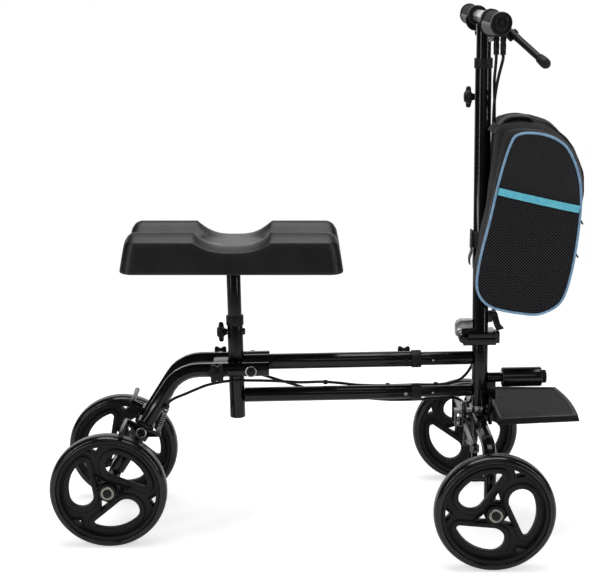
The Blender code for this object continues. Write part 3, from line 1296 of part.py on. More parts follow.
# Fold joint and column
def add_fold_joint():
    """The lower flange on the stem, with the outer hinge barrels, the hinge pin and a nose in front."""
    low = STEM_TOP_Z + FIT
    top = FOLD_PIVOT_Z - FIT
    half = FOLD_WIDTH / 2
    gap = FOLD_TONGUE_WIDTH / 2 + FIT
    nose_half = RELEASE_LEVER_WIDTH / 2
    neck_half = nose_half - WELD
    room = FOLD_BARREL_RADIUS + FIT
    at_pivot = (FOLD_PIVOT_X, 0, FOLD_PIVOT_Z)
    base = block((FOLD_PIVOT_X, -half, low), (FOLD_FRONT_X, half, top), FOLD_BEVEL)
    nose = block(
        (FOLD_FRONT_X + FIT, -nose_half, low),
        (FOLD_NOSE_FRONT_X, nose_half, FOLD_NOSE_TOP_Z),
        FOLD_BEVEL,
    )
    neck = block(
        (FOLD_FRONT_X - FOLD_NOSE_OVERLAP, -neck_half, low + FOLD_BEVEL),
        (FOLD_FRONT_X + FOLD_NOSE_OVERLAP, neck_half, top - FOLD_BEVEL),
    )
    barrel = rod(FOLD_BARREL_RADIUS, FOLD_WIDTH, "Y", -half, 12)
    base = joined(base, moved(barrel, at_pivot), neck, nose)
    slot = block(
        (FOLD_PIVOT_X - FOLD_SWING_ROOM, -gap, FOLD_PIVOT_Z - room),
        (FOLD_PIVOT_X + room, gap, FOLD_PIVOT_Z + FOLD_SWING_ROOM),
    )
    base = cut(base, slot)
    pin = rod(FOLD_PIN_RADIUS, FOLD_WIDTH - 2 * FOLD_PIN_INSET, "Y", FOLD_PIN_INSET - half, SMALL_ROUND)
    base = joined(base, moved(pin, at_pivot))
    moved(base, (0, 0, -AXLE_TUBE_Z))
    place(finish(base, "fold_base", BLACK_PAINT), "steering", (0, 0, AXLE_TUBE_Z))


def release_outline():
    """The lever's side view: an eye round its pin, a shank that hangs from it and a lip at the foot."""
    half = RELEASE_LEVER_THICKNESS / 2
    foot = -RELEASE_LEVER_LENGTH
    outline = arc((0, 0), RELEASE_EYE_RADIUS, 0, pi, 7)
    outline += [(-half, foot + RELEASE_LIP_HEIGHT), (-half + WELD, foot)]
    outline += [(half + RELEASE_LIP_DEPTH, foot), (half, foot + RELEASE_LIP_HEIGHT)]
    return outline


def add_release_lever():
    """The lever, forked at its eye to sit round the column's lug."""
    lever = outline_plate([release_outline()], RELEASE_LEVER_WIDTH, "XZ")
    gap = RELEASE_LUG_THICKNESS / 2 + FIT
    across = RELEASE_LEVER_THICKNESS
    slot = block((-across, -gap, -RELEASE_SLOT_LENGTH), (across, gap, across))
    lever = cut(lever, slot, cross_hole(RELEASE_PIN_RADIUS))
    moved(lever, matrix=Matrix.Rotation(-RELEASE_LEVER_LEAN, 4, "Y"))
    place(finish(lever, "quick_release_lever", ZINC), "release", (RELEASE_PIVOT_X, 0, RELEASE_PIVOT_Z))


def release_lug():
    """The lug on the front of the column, and the pin in it that the quick-release lever swings on."""
    at = (RELEASE_PIVOT_X, RELEASE_PIVOT_Z)
    low = RELEASE_PIVOT_Z - RELEASE_LUG_DROP
    outline = [(0, low), (RELEASE_LUG_FOOT, low)]
    outline += arc(at, RELEASE_LUG_RADIUS, -pi / 4, pi / 2, 5)
    outline.append((0, RELEASE_PIVOT_Z + RELEASE_LUG_RADIUS))
    lug = outline_plate([outline], RELEASE_LUG_THICKNESS, "XZ")
    pin = rod(RELEASE_PIN_RADIUS, RELEASE_PIN_LENGTH, "Y", -RELEASE_PIN_LENGTH / 2, SMALL_ROUND)
    return joined(lug, moved(pin, (RELEASE_PIVOT_X, 0, RELEASE_PIVOT_Z)))


def add_column():
    """The lower column on its flange, with the inner hinge barrel behind and the lug in front."""
    half = FOLD_WIDTH / 2
    tongue = FOLD_TONGUE_WIDTH / 2
    parting = FOLD_PIVOT_Z + FIT
    top = parting + FOLD_HEAD_HEIGHT
    rear = FOLD_PIVOT_X + FOLD_BARREL_RADIUS + 2 * FIT
    at_pivot = (FOLD_PIVOT_X, 0, FOLD_PIVOT_Z)
    head = block((rear, -half, parting), (FOLD_FRONT_X, half, top), FOLD_BEVEL)
    ear = block((FOLD_PIVOT_X - WELD, -tongue, FOLD_PIVOT_Z), (0, tongue, STRAP_SHELF_Z - FIT))
    barrel = rod(FOLD_BARREL_RADIUS, FOLD_TONGUE_WIDTH, "Y", -tongue, 12)
    foot = top - COLUMN_FOOT
    shaft = rod(COLUMN_RADIUS, COLUMN_TOP_Z - foot, "Z", foot)
    column = joined(head, ear, moved(barrel, at_pivot), shaft, release_lug())
    floor = top + COLUMN_FOOT
    bore = rod(UPPER_COLUMN_RADIUS + FIT, COLUMN_TOP_Z - floor + WELD, "Z", floor)
    column = cut(column, bore, moved(cross_hole(FOLD_PIN_RADIUS), at_pivot))
    moved(column, (-FOLD_PIVOT_X, 0, -FOLD_PIVOT_Z))
    place(finish(column, "lower_column", BLACK_PAINT), "column", at_pivot)
    ring = turned(collar(COLUMN_RADIUS, UPPER_COLUMN_RADIUS), ring=True)
    place(finish(ring, "column_collar", BLACK_PLASTIC), "column", (0, 0, COLUMN_TOP_Z))
    add_hinge_strap()


def add_hinge_strap():
    """The bright bent strap behind the column's foot, over the hinge barrel and down behind it."""
    front = -COLUMN_RADIUS - FIT
    inner = FOLD_PIVOT_X - FOLD_BARREL_RADIUS - STRAP_CLEARANCE
    outer = inner - STRAP_THICKNESS
    outline = [
        (front, STRAP_SHELF_Z),
        (front, STRAP_TOP_Z),
        (outer + STRAP_SHOULDER, STRAP_TOP_Z),
        (outer + STRAP_SHOULDER_CUT, STRAP_TOP_Z - STRAP_SHOULDER_CUT),
        (outer, STRAP_TOP_Z - STRAP_SHOULDER),
        (outer, STRAP_FOOT_Z),
        (inner, STRAP_FOOT_Z),
        (inner, STRAP_SHELF_Z),
    ]
    strap = outline_plate([outline], STRAP_WIDTH, "XZ")
    moved(strap, (-FOLD_PIVOT_X, 0, -FOLD_PIVOT_Z))
    place(finish(strap, "hinge_strap", ZINC), "column", (FOLD_PIVOT_X, 0, FOLD_PIVOT_Z))


# Handlebar
def add_handlebar():
    top = HANDLE_Z - HANDLEBAR_RADIUS - FIT
    bottom = COLUMN_TOP_Z - COLUMN_INSERTION
    mast = tube(UPPER_COLUMN_RADIUS, UPPER_COLUMN_RADIUS - BAR_WALL, bottom - HANDLE_Z, top - HANDLE_Z)
    place(finish(mast, "upper_column", BLACK_PAINT), "handle", (0, 0, HANDLE_Z))
    half = HANDLEBAR_LENGTH / 2
    bar = tube(HANDLEBAR_RADIUS, HANDLEBAR_RADIUS - BAR_WALL, -half, half, "Y")
    place(finish(bar, "handlebar", CHROME), "handle", (0, 0, HANDLE_Z))
    for name, side in (("right", -1), ("left", 1)):
        grip = make_grip()
        if side < 0:
            mirror_y(grip)
        place(finish(grip, f"grip_{name}", BLACK_RUBBER), "handle", (0, 0, HANDLE_Z))
    left = cut(make_clamp(), bar_bore())
    place(finish(left, "grip_clamp_left", BLACK_PLASTIC), "handle", (0, CLAMP_Y, HANDLE_Z))
    right = cut(with_lever_bracket(make_clamp()), bar_bore())
    place(finish(right, "brake_lever_clamp", BLACK_PLASTIC), "handle", (0, -CLAMP_Y, HANDLE_Z))


def lobed_section(radius, lobe, y, count=14):
    """A round section with a palm lobe that points down and a little forward."""
    points = []
    for i in range(count):
        angle = tau * i / count
        swell = max(cos(angle + PALM_LOBE_TURN), 0) ** 1.5
        r = radius + lobe * swell
        points.append(Vector((r * cos(angle), y, r * sin(angle))))
    return points


def loft(sections):
    """Bridge closed sections into one solid."""
    bm = bmesh.new()
    rings = [[bm.verts.new(p) for p in section] for section in sections]
    count = len(rings[0])
    for a, b in zip(rings, rings[1:]):
        for i in range(count):
            j = (i + 1) % count
            bm.faces.new((a[i], a[j], b[j], b[i]))
    bm.faces.new(rings[0])
    bm.faces.new(rings[-1])
    bmesh.ops.recalc_face_normals(bm, faces=bm.faces)
    return mesh_object(bm)


def bar_bore(start=-HANDLEBAR_LENGTH / 2, length=HANDLEBAR_LENGTH):
    """A cutter that clears the handlebar."""
    return rod(HANDLEBAR_RADIUS + FIT, length, "Y", start)


def make_grip():
    """The left grip: a flange at its inner end, a palm lobe below and a swollen cap at its outer end."""
    inner = HANDLEBAR_LENGTH / 2 - GRIP_LENGTH
    outer = HANDLEBAR_LENGTH / 2 + GRIP_CAP
    middle_lobe = (GRIP_INNER_LOBE + GRIP_OUTER_LOBE) / 2
    end_radius = GRIP_RADIUS + GRIP_END_BEAD
    shapes = (
        (GRIP_RADIUS + GRIP_FLANGE, GRIP_INNER_LOBE, inner),
        (GRIP_RADIUS + GRIP_FLANGE, GRIP_INNER_LOBE, inner + GRIP_FLANGE_WIDTH),
        (GRIP_RADIUS, GRIP_INNER_LOBE, inner + 2 * GRIP_FLANGE_WIDTH),
        (GRIP_RADIUS, middle_lobe, (inner + outer) / 2),
        (GRIP_RADIUS, GRIP_OUTER_LOBE, outer - GRIP_END_BEAD_WIDTH),
        (end_radius, GRIP_OUTER_LOBE, outer - GRIP_CAP),
        (end_radius - GRIP_END_ROUND, GRIP_OUTER_LOBE, outer),
    )
    grip = loft([lobed_section(radius, lobe, y) for radius, lobe, y in shapes])
    return cut(grip, bar_bore(0, HANDLEBAR_LENGTH / 2 + FIT))


def make_clamp():
    """The ring that clamps the bar beside a grip, with its screw boss below."""
    ring = rod(CLAMP_RADIUS, CLAMP_WIDTH, "Y", -CLAMP_WIDTH / 2)
    boss = rod(CLAMP_BOSS_RADIUS, CLAMP_BOSS_LENGTH, "Z", -CLAMP_BOSS_LENGTH, SMALL_ROUND)
    return joined(ring, boss)


def lever_axes():
    """Axes at the handlebar, turned to the lever: +Z along its pivot pin, +X away from the bar."""
    return Matrix.Rotation(LEVER_SLOPE, 4, "Y")


def with_lever_bracket(ring):
    """Add the arm and the pin that the lever turns on, and the two barrels that the cables leave."""
    half = LEVER_BRACKET_HALF_WIDTH
    seat = LEVER_OFFSET - LEVER_THICKNESS / 2 - FIT
    arm = block(
        (HANDLEBAR_RADIUS, -half, seat - LEVER_BRACKET_THICKNESS),
        (LEVER_REACH + LEVER_BRACKET_END, half, seat),
        LEVER_BRACKET_BEVEL,
    )
    pin_length = WELD + FIT + LEVER_THICKNESS + LEVER_PIN_STAND_OUT
    pin = rod(LEVER_PIN_RADIUS, pin_length, "Z", seat - WELD, SMALL_ROUND)
    arm = joined(arm, moved(pin, (LEVER_REACH, 0, 0)))
    moved(arm, matrix=lever_axes())
    web = block((*CABLE_WEB_REAR, -CABLE_WEB_DEPTH), (*CABLE_WEB_FRONT, 0))
    ring = joined(ring, arm, web)
    for x, y in (RIGHT_CABLE_EXIT, LEFT_CABLE_EXIT):
        barrel = rod(CABLE_BARREL_RADIUS, CABLE_EXIT_DEPTH - CABLE_BARREL_TOP, "Z", -CABLE_EXIT_DEPTH, 8)
        ring = joined(ring, moved(barrel, (x, y, 0)))
    return ring


def add_brake_lever():
    """The blade flares outward from its pivot and ends in a thicker rubber tip."""
    direction = Vector((sin(LEVER_FLARE), -cos(LEVER_FLARE), 0))
    root = rod(LEVER_ROOT_RADIUS, LEVER_THICKNESS, "Z", -LEVER_THICKNESS / 2, 14)
    points = [direction * along for along, _ in LEVER_STATIONS]
    blade = swept(points, 1.0, 2, [half_width for _, half_width in LEVER_STATIONS])
    moved(blade, matrix=Matrix.Scale(LEVER_FLATTENING, 4, (0, 0, 1)))
    hole = rod(LEVER_PIN_RADIUS + RUN, 4 * LEVER_THICKNESS, "Z", -2 * LEVER_THICKNESS, SMALL_ROUND)
    lever = moved(cut(joined(root, blade), hole), matrix=lever_axes())
    place(finish(lever, "brake_lever", BLACK_PLASTIC), "brake_lever", LEVER_PIVOT)


# Bag
def add_bag():
    """A soft bag between two drop-shaped sides, hollowed behind for the column and the cables."""
    bag = loft([bag_section(side, fullness) for side, fullness in BAG_SECTIONS])
    half = BAG_CHANNEL_HALF_WIDTH
    channel = block((-BAG_WIDTH, -half, 0), (BAG_CHANNEL_FRONT_X, half, COLUMN_TOP_Z))
    bag = cut(bag, channel)
    moved(bag, (-FOLD_PIVOT_X, 0, -FOLD_PIVOT_Z))
    place(finish(bag, "carry_bag", BAG_FABRIC), "column", (FOLD_PIVOT_X, 0, FOLD_PIVOT_Z))


# Brake cables: routes chosen by hand, in frame axes, from the lever's clamp to each cable stop
RIGHT_CABLE_ROUTE = (
    (0.0178, -0.0620, 0.7020), (0.0175, -0.0440, 0.6870), (0.0170, -0.0290, 0.6700),
    (0.0162, -0.0180, 0.6480), (0.0158, -0.0125, 0.6200), (0.0158, -0.0105, 0.5850),
    (0.0158, -0.0100, 0.5200), (0.0158, -0.0100, 0.4500), (0.0165, -0.0080, 0.4000),
    (0.0178, -0.0010, 0.3600), (0.0172, 0.0080, 0.3300), (0.0120, 0.0185, 0.3020),
    (0.0040, 0.0245, 0.2700), (0.0005, 0.0262, 0.2400), (-0.0010, 0.0255, 0.2180),
    (-0.0060, 0.0245, 0.1950), (-0.0150, 0.0225, 0.1750), (-0.0290, 0.0205, 0.1600),
    (-0.0480, 0.0185, 0.1525), (-0.0750, 0.0175, 0.1500), (-0.1100, 0.0190, 0.1500),
    (-0.1600, 0.0175, 0.1500), (-0.2100, 0.0170, 0.1520), (-0.2450, 0.0135, 0.1575),
    (-0.2766, 0.0020, 0.1640), (-0.3148, -0.0140, 0.1690), (-0.3666, -0.0250, 0.1762),
    (-0.4218, -0.0320, 0.1800), (-0.4494, -0.0350, 0.1790), (-0.4750, -0.0375, 0.1745),
    (-0.4962, -0.0400, 0.1672), (-0.5150, -0.0425, 0.1600), (-0.5310, -0.0455, 0.1545),
)
LEFT_CABLE_ROUTE = (
    (0.0105, -0.0640, 0.7080), (0.0120, -0.0470, 0.6950), (0.0138, -0.0310, 0.6820),
    (0.0160, -0.0180, 0.6660), (0.0178, -0.0095, 0.6450), (0.0187, -0.0040, 0.6150),
    (0.0187, -0.0025, 0.5800), (0.0187, -0.0020, 0.5200), (0.0187, -0.0020, 0.4500),
    (0.0186, 0.0005, 0.4000), (0.0175, 0.0085, 0.3600), (0.0140, 0.0165, 0.3300),
    (0.0035, 0.0250, 0.3020), (-0.0045, 0.0262, 0.2700), (-0.0065, 0.0262, 0.2400),
    (-0.0070, 0.0235, 0.2180), (-0.0060, 0.0185, 0.1950), (-0.0050, 0.0174, 0.1700),
    (-0.0070, 0.0174, 0.1450), (-0.0100, 0.0185, 0.1250), (-0.0155, 0.0200, 0.1145),
    (-0.0240, 0.0210, 0.1150), (-0.0340, 0.0205, 0.1210), (-0.0500, 0.0190, 0.1250),
    (-0.1000, 0.0155, 0.1240), (-0.1550, 0.0155, 0.1240), (-0.2100, 0.0175, 0.1290),
    (-0.2700, 0.0200, 0.1370), (-0.3300, 0.0225, 0.1550), (-0.3900, 0.0255, 0.1740),
    (-0.4256, 0.0280, 0.1800), (-0.4600, 0.0330, 0.1800), (-0.4962, 0.0395, 0.1730),
    (-0.5150, 0.0425, 0.1645), (-0.5310, 0.0455, 0.1560),
)


def even_path(points, spacing):
    """Read points a fixed distance apart from a smooth curve through the chosen ones."""
    fine = smooth_path(points, 24)
    steps = [0.0]
    for a, b in zip(fine, fine[1:]):
        steps.append(steps[-1] + (b - a).length)
    count = round(steps[-1] / spacing)
    path = []
    k = 0
    for i in range(count + 1):
        target = steps[-1] * i / count
        while k < len(steps) - 2 and steps[k + 1] < target:
            k += 1
        share = (target - steps[k]) / (steps[k + 1] - steps[k])
        path.append(fine[k].lerp(fine[k + 1], share))
    return path, steps[-1]


def add_cables():
    """Each cable leaves its barrel straight down and enters its cable stop straight."""
    cables = (
        ("right", RIGHT_CABLE_EXIT, RIGHT_CABLE_ROUTE, -1),
        ("left", LEFT_CABLE_EXIT, LEFT_CABLE_ROUTE, 1),
    )
    for name, (x, y), route, side in cables:
        start = Vector((x, y - CLAMP_Y, HANDLE_Z - CABLE_EXIT_DEPTH - FIT))
        below = start - Vector((0, 0, CABLE_LEAD))
        stop = stop_matrix()
        tail = [stop @ Vector((0, 0, CABLE_STOP_LENGTH / 2 + rise)) for rise in (CABLE_LEAD, FIT)]
        tail = [Vector((p.x, side * (p.y + LEG_Y), p.z)) for p in tail]
        path, length = even_path([below, *route, tail[0]], CABLE_POINT_SPACING)
        path = [start, *path, tail[1]]
        length += 2 * CABLE_LEAD
        print(f"{name} brake cable: {len(path)} points, {length:.3f} m")
        cable = swept(path, CABLE_RADIUS, 1)
        place(finish(cable, f"brake_cable_{name}", BLACK_RUBBER), "front_frame")


add_wheels()
add_axles()
add_rear_frame()
add_leg_pivot_bolt()
add_knobs()
add_legs()
add_brakes()
add_seat()
add_front_frame()
add_steering()
add_fold_joint()
add_release_lever()
add_column()
add_handlebar()
add_brake_lever()
add_bag()
add_cables()
bpy.context.view_layer.update()
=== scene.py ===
# %% [markdown]
# # Dressing a knee walker
#
# The walker's tubes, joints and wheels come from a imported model, the frame. This lesson gives them
# their real finishes, replaces the plain wheels, pad, bag and grips with detailed ones, and adds the
# small trim. Every length is in metres, +X points forward, +Y to the rider's left and +Z up.

# %% Load the frame and keep its box
import json
from contextlib import contextmanager
from math import acos, atan2, cos, pi, radians, sin, sqrt, tau

import bpy
from mathutils import Matrix, Vector, noise


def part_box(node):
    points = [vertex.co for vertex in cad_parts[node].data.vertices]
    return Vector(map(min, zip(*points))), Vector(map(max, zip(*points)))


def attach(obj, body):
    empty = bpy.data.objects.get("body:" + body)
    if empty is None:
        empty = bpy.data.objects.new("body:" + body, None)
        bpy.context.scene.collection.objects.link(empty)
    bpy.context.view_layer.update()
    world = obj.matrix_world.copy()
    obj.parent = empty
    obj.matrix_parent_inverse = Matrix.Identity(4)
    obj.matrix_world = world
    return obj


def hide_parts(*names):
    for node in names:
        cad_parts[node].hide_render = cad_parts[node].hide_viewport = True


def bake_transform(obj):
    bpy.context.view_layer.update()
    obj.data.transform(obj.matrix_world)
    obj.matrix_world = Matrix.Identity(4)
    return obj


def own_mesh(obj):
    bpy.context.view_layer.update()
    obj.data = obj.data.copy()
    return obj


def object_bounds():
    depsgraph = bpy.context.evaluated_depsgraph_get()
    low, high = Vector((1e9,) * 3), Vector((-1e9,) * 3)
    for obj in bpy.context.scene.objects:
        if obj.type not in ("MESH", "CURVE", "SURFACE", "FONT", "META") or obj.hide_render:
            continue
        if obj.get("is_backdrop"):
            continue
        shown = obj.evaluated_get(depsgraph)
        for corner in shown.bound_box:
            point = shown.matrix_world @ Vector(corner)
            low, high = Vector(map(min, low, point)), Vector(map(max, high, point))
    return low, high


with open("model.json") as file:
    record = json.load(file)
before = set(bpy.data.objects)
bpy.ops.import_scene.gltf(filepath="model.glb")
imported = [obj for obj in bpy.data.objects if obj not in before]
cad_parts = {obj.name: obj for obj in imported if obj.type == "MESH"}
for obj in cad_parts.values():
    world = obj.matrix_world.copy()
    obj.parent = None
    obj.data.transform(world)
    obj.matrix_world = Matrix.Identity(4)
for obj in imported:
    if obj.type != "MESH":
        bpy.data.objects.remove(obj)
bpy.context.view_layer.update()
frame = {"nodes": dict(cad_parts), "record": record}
slots = {part["node"]: part["material_slot"] for part in frame["record"]["subparts"]}
body_of_node = {
    node: body for body, nodes in frame["record"]["behaviour"]["bodies"].items() for node in nodes
}

# %% [markdown]
# The walker was drawn in the axes of its main beams, which its four equal wheels tip nose-up by a
# little over one degree. Most trim is easier to place in those axes, so one helper turns them into
# the world's: u is forward and w is up from the middle of the front axle, and y is sideways.

# %% From the beams' axes to the world
FRAME_PITCH = radians(1.15)
front_axle = (sum(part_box("front_right_tyre"), Vector()) + sum(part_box("front_left_tyre"), Vector())) / 4
FORWARD = Vector((cos(FRAME_PITCH), 0, sin(FRAME_PITCH)))
UPWARD = Vector((-sin(FRAME_PITCH), 0, cos(FRAME_PITCH)))
TIPPED = Matrix.Translation(front_axle) @ Matrix.Rotation(-FRAME_PITCH, 4, "Y")


def spot(u, y, w):
    """A point of the beams' axes, in the world."""
    return TIPPED @ Vector((u, y, w))


print("the front axle is at", [round(c, 4) for c in front_axle])

# %% [markdown]
# Small helpers come first. Blender's operators act on whatever is selected, so one of them selects
# a single piece. A finished piece has its object at the world's origin and its place in its mesh,
# and another helper bakes the place in.


# %% Select, join and settle pieces
def only(*pieces):
    """Select these pieces and nothing else, with the last one active."""
    bpy.ops.object.select_all(action="DESELECT")
    for piece in pieces:
        piece.select_set(True)
    bpy.context.view_layer.objects.active = pieces[-1]


@contextmanager
def edit_mode(piece):
    """Open one piece in edit mode with all of it selected, and close it again afterwards."""
    only(piece)
    bpy.ops.object.mode_set(mode="EDIT")
    bpy.ops.mesh.select_all(action="SELECT")
    yield
    bpy.ops.object.mode_set(mode="OBJECT")


def settle(piece):
    """Bake an object's place, turn and scale into its mesh."""
    only(piece)
    bpy.ops.object.transform_apply(location=True, rotation=True, scale=True)
    return piece


def moved(piece, matrix):
    """Carry a settled piece to a new place."""
    piece.data.transform(matrix)
    if matrix.determinant() < 0:
        piece.data.flip_normals()
    return piece


def copied(piece, matrix=None):
    """A copy with a mesh of its own."""
    twin = piece.copy()
    twin.data = piece.data.copy()
    bpy.context.scene.collection.objects.link(twin)
    return twin if matrix is None else moved(twin, matrix)


def merged(*pieces):
    """Join several settled pieces into the last one."""
    only(*pieces)
    bpy.ops.object.join()
    return pieces[-1]


def use(piece, kind, **settings):
    """Add one modifier and apply it."""
    only(piece)
    modifier = piece.modifiers.new(kind, kind)
    for name, value in settings.items():
        setattr(modifier, name, value)
    bpy.ops.object.modifier_apply(modifier=modifier.name)
    return piece


def cleaned(piece, distance=0.00001):
    """Merge doubled points and turn every face outwards."""
    with edit_mode(piece):
        bpy.ops.mesh.remove_doubles(threshold=distance)
        bpy.ops.mesh.normals_make_consistent(inside=False)
    return piece


def smoothed(piece, angle=35):
    """Shade a piece smooth across its shallow edges."""
    only(piece)
    bpy.ops.object.shade_smooth_by_angle(angle=radians(angle))
    return piece


def rounded(piece, width, segments, angle):
    """Put a round on every edge that turns by more than an angle."""
    sharp = {"limit_method": "ANGLE", "angle_limit": radians(angle)}
    return use(piece, "BEVEL", width=width, segments=segments, **sharp)


def softened(piece, width=0.0005, segments=2):
    """Break a piece's sharp edges with a small round, as moulding and deburring do."""
    return smoothed(rounded(piece, width, segments, 40))


# %% [markdown]
# The camera stands where the photographer's stood: a little over two metres to the walker's right,
# near handlebar height, looking slightly down. A long lens keeps the near and the far wheels close
# in size. The focal length is given in pixels of a 590-pixel frame, as the camera was solved.

# %% The camera
PICTURE_WIDTH = 590
FOCAL_PIXELS = 1350
SENSOR_WIDTH = 36
CAMERA_BEHIND_AXLE = 0.3268
CAMERA_DISTANCE = 2.2618
CAMERA_HEIGHT = 0.9798
CAMERA_DOWN = radians(13.64)
bpy.ops.object.camera_add(
    location=(front_axle.x - CAMERA_BEHIND_AXLE, -CAMERA_DISTANCE, CAMERA_HEIGHT),
    rotation=(pi / 2 - CAMERA_DOWN, 0, 0),
)
camera = bpy.context.object
camera.name = "camera"
camera.data.sensor_width = SENSOR_WIDTH
camera.data.lens = SENSOR_WIDTH * FOCAL_PIXELS / PICTURE_WIDTH
camera.data.clip_end = 200
bpy.context.scene.camera = camera
print(f"lens {camera.data.lens:.1f} mm")

# %% [markdown]
# Materials are built from nodes. Written link by link they are hard to read, so a small class wraps
# an output socket and lets Python's own operators add Math nodes: 1 - mask, or a * b + c. A second
# class owns one material and has a single method that adds any other kind of node.


# %% Shader maths as expressions
class Signal:
    """A number or a colour on its way through a node tree."""

    def __init__(self, owner, socket):
        self.owner = owner
        self.socket = socket

    def maths(self, operation, first, second=None):
        inputs = {0: first} if second is None else {0: first, 1: second}
        return self.owner.node("ShaderNodeMath", {"operation": operation}, inputs)

    def __add__(self, other):
        return self.maths("ADD", self, other)

    __radd__ = __add__

    def __mul__(self, other):
        return self.maths("MULTIPLY", self, other)

    __rmul__ = __mul__

    def __sub__(self, other):
        return self.maths("SUBTRACT", self, other)

    def __rsub__(self, other):
        return self.maths("SUBTRACT", other, self)

    def peak(self, other):
        return self.maths("MAXIMUM", self, other)

    def size(self):
        return self.maths("ABSOLUTE", self)

    def wave(self):
        return self.maths("SINE", self)


class Finish:
    """One material: its node tree and its Principled shader."""

    def __init__(self, name):
        self.material = bpy.data.materials.new(name)
        self.material.use_nodes = True
        self.tree = self.material.node_tree
        self.shader = self.tree.nodes["Principled BSDF"]

    def node(self, kind, settings=None, inputs=None, out=0):
        """Add a node, set it up, feed its sockets and return one of its outputs."""
        made = self.tree.nodes.new(kind)
        for name, value in (settings or {}).items():
            setattr(made, name, value)
        for name, value in (inputs or {}).items():
            self.feed(made.inputs[name], value)
        return Signal(self, made.outputs[out])

    def feed(self, socket, value):
        if isinstance(value, Signal):
            self.tree.links.new(value.socket, socket)
        else:
            socket.default_value = value

    def place(self, kind="Object"):
        return self.node("ShaderNodeTexCoord", out=kind)

    def split(self, vector):
        parts = self.node("ShaderNodeSeparateXYZ", inputs={0: vector}).socket.node
        return [Signal(self, parts.outputs[k]) for k in range(3)]

    def noise(self, scale, detail=3.0, roughness=0.5, vector=None):
        inputs = {"Scale": scale, "Detail": detail, "Roughness": roughness}
        inputs["Vector"] = self.place() if vector is None else vector
        return self.node("ShaderNodeTexNoise", {"noise_dimensions": "3D"}, inputs)

    def cells(self, scale, feature="F1"):
        inputs = {"Scale": scale, "Vector": self.place()}
        return self.node("ShaderNodeTexVoronoi", {"feature": feature}, inputs, "Distance")

    def spread(self, value, low, high, to_low=0.0, to_high=1.0):
        """Map a range of values smoothly onto another range."""
        inputs = {"Value": value, "From Min": low, "From Max": high, "To Min": to_low, "To Max": to_high}
        return self.node("ShaderNodeMapRange", {"interpolation_type": "SMOOTHSTEP"}, inputs)

    def mix(self, share, first, second):
        inputs = {0: share, 6: (*first, 1) if isinstance(first, tuple) else first}
        inputs[7] = (*second, 1) if isinstance(second, tuple) else second
        return self.node("ShaderNodeMix", {"data_type": "RGBA"}, inputs, 2)

    def bump(self, height, distance, strength):
        inputs = {"Height": height, "Distance": distance, "Strength": strength}
        return self.node("ShaderNodeBump", inputs=inputs)

    def paint(self, **sockets):
        """Feed the shader's sockets: base_color=..., roughness=..., normal=... and so on."""
        names = {name.lower().replace(" ", "_"): name for name in self.shader.inputs.keys()}
        for key, value in sockets.items():
            if key == "base_color" and isinstance(value, tuple):
                value = (*value, 1)
            self.feed(self.shader.inputs[names[key]], value)
        return self.material

# %% [markdown]
# ## Finishes
#
# Nearly everything on the walker is black, so the finishes differ by gloss and by grain. The tubes
# have gloss paint with a faint orange-peel ripple: it is fed to the normal, because it breaks up the
# highlights without showing as a colour. The mouldings are satin, with a fine spark-eroded grain.


# %% Gloss paint and moulded plastic
def gloss_paint():
    finish = Finish("gloss_black_paint")
    ripple = finish.noise(260, 2, 0.4)
    dust = finish.spread(finish.noise(38, 4, 0.6), 0.45, 0.75)
    return finish.paint(
        base_color=finish.mix(dust * 0.5, (0.004, 0.004, 0.0045), (0.010, 0.010, 0.0105)),
        roughness=0.16 + dust * 0.10,
        specular_ior_level=0.34,
        coat_weight=0.25,
        coat_roughness=0.08,
        normal=finish.bump(ripple, 0.00006, 0.5),
    )


def moulded_plastic(name, colour, roughness, grain=0.00010):
    finish = Finish(name)
    pits = finish.noise(1500, 3, 0.55)
    flow = finish.spread(finish.noise(24, 3, 0.5), 0.35, 0.7)
    pale = tuple(c * 1.7 for c in colour)
    return finish.paint(
        base_color=finish.mix(flow * 0.6, colour, pale),
        roughness=roughness + flow * 0.08 + pits * 0.06,
        specular_ior_level=0.30,
        normal=finish.bump(pits, grain, 0.6),
    )


paint = gloss_paint()
plastic = moulded_plastic("satin_black_plastic", (0.007, 0.007, 0.0075), 0.38)
wheel_plastic = moulded_plastic("wheel_moulding", (0.009, 0.009, 0.0093), 0.40)
smooth_plastic = moulded_plastic("smooth_black_plastic", (0.005, 0.005, 0.0055), 0.22, 0.00004)

# %% [markdown]
# The rubbers have fine pores, so a cell pattern is added to the noise. The tyres and the front
# roller are nearly smooth and shine along their edges. The grips are duller, the palm rests under
# them are lighter, and the cables have a plain black sheath.


# %% Rubber and foam
def rubber(name, colour, roughness, pore_scale, pore_depth, shine=0.28):
    finish = Finish(name)
    pores = finish.spread(finish.cells(pore_scale), 0.1, 0.6)
    bloom = finish.spread(finish.noise(30, 4, 0.6), 0.4, 0.75)
    pale = tuple(c * 1.8 for c in colour)
    return finish.paint(
        base_color=finish.mix(bloom * 0.5, colour, pale),
        roughness=roughness + bloom * 0.10,
        specular_ior_level=shine,
        normal=finish.bump(pores + finish.noise(2400, 2, 0.5) * 0.5, pore_depth, 0.6),
    )


tyre_rubber = rubber("solid_tyre_rubber", (0.0050, 0.0050, 0.0054), 0.15, 900, 0.00002, 0.60)
grip_rubber = rubber("grip_rubber", (0.011, 0.011, 0.0113), 0.50, 1300, 0.00010)
palm_rubber = rubber("palm_rubber", (0.140, 0.140, 0.144), 0.50, 1300, 0.00008, 0.25)
sleeve_rubber = rubber("sleeve_rubber", (0.006, 0.006, 0.0063), 0.55, 1300, 0.00008, 0.08)
sheath = rubber("cable_sheath", (0.010, 0.010, 0.0105), 0.35, 1500, 0.00003)

# %% [markdown]
# The bright parts are zinc-plated steel, which has a slightly mottled sheen, a brushed silver bar,
# and the bearing rings of the wheels, which are a slightly warm grey.


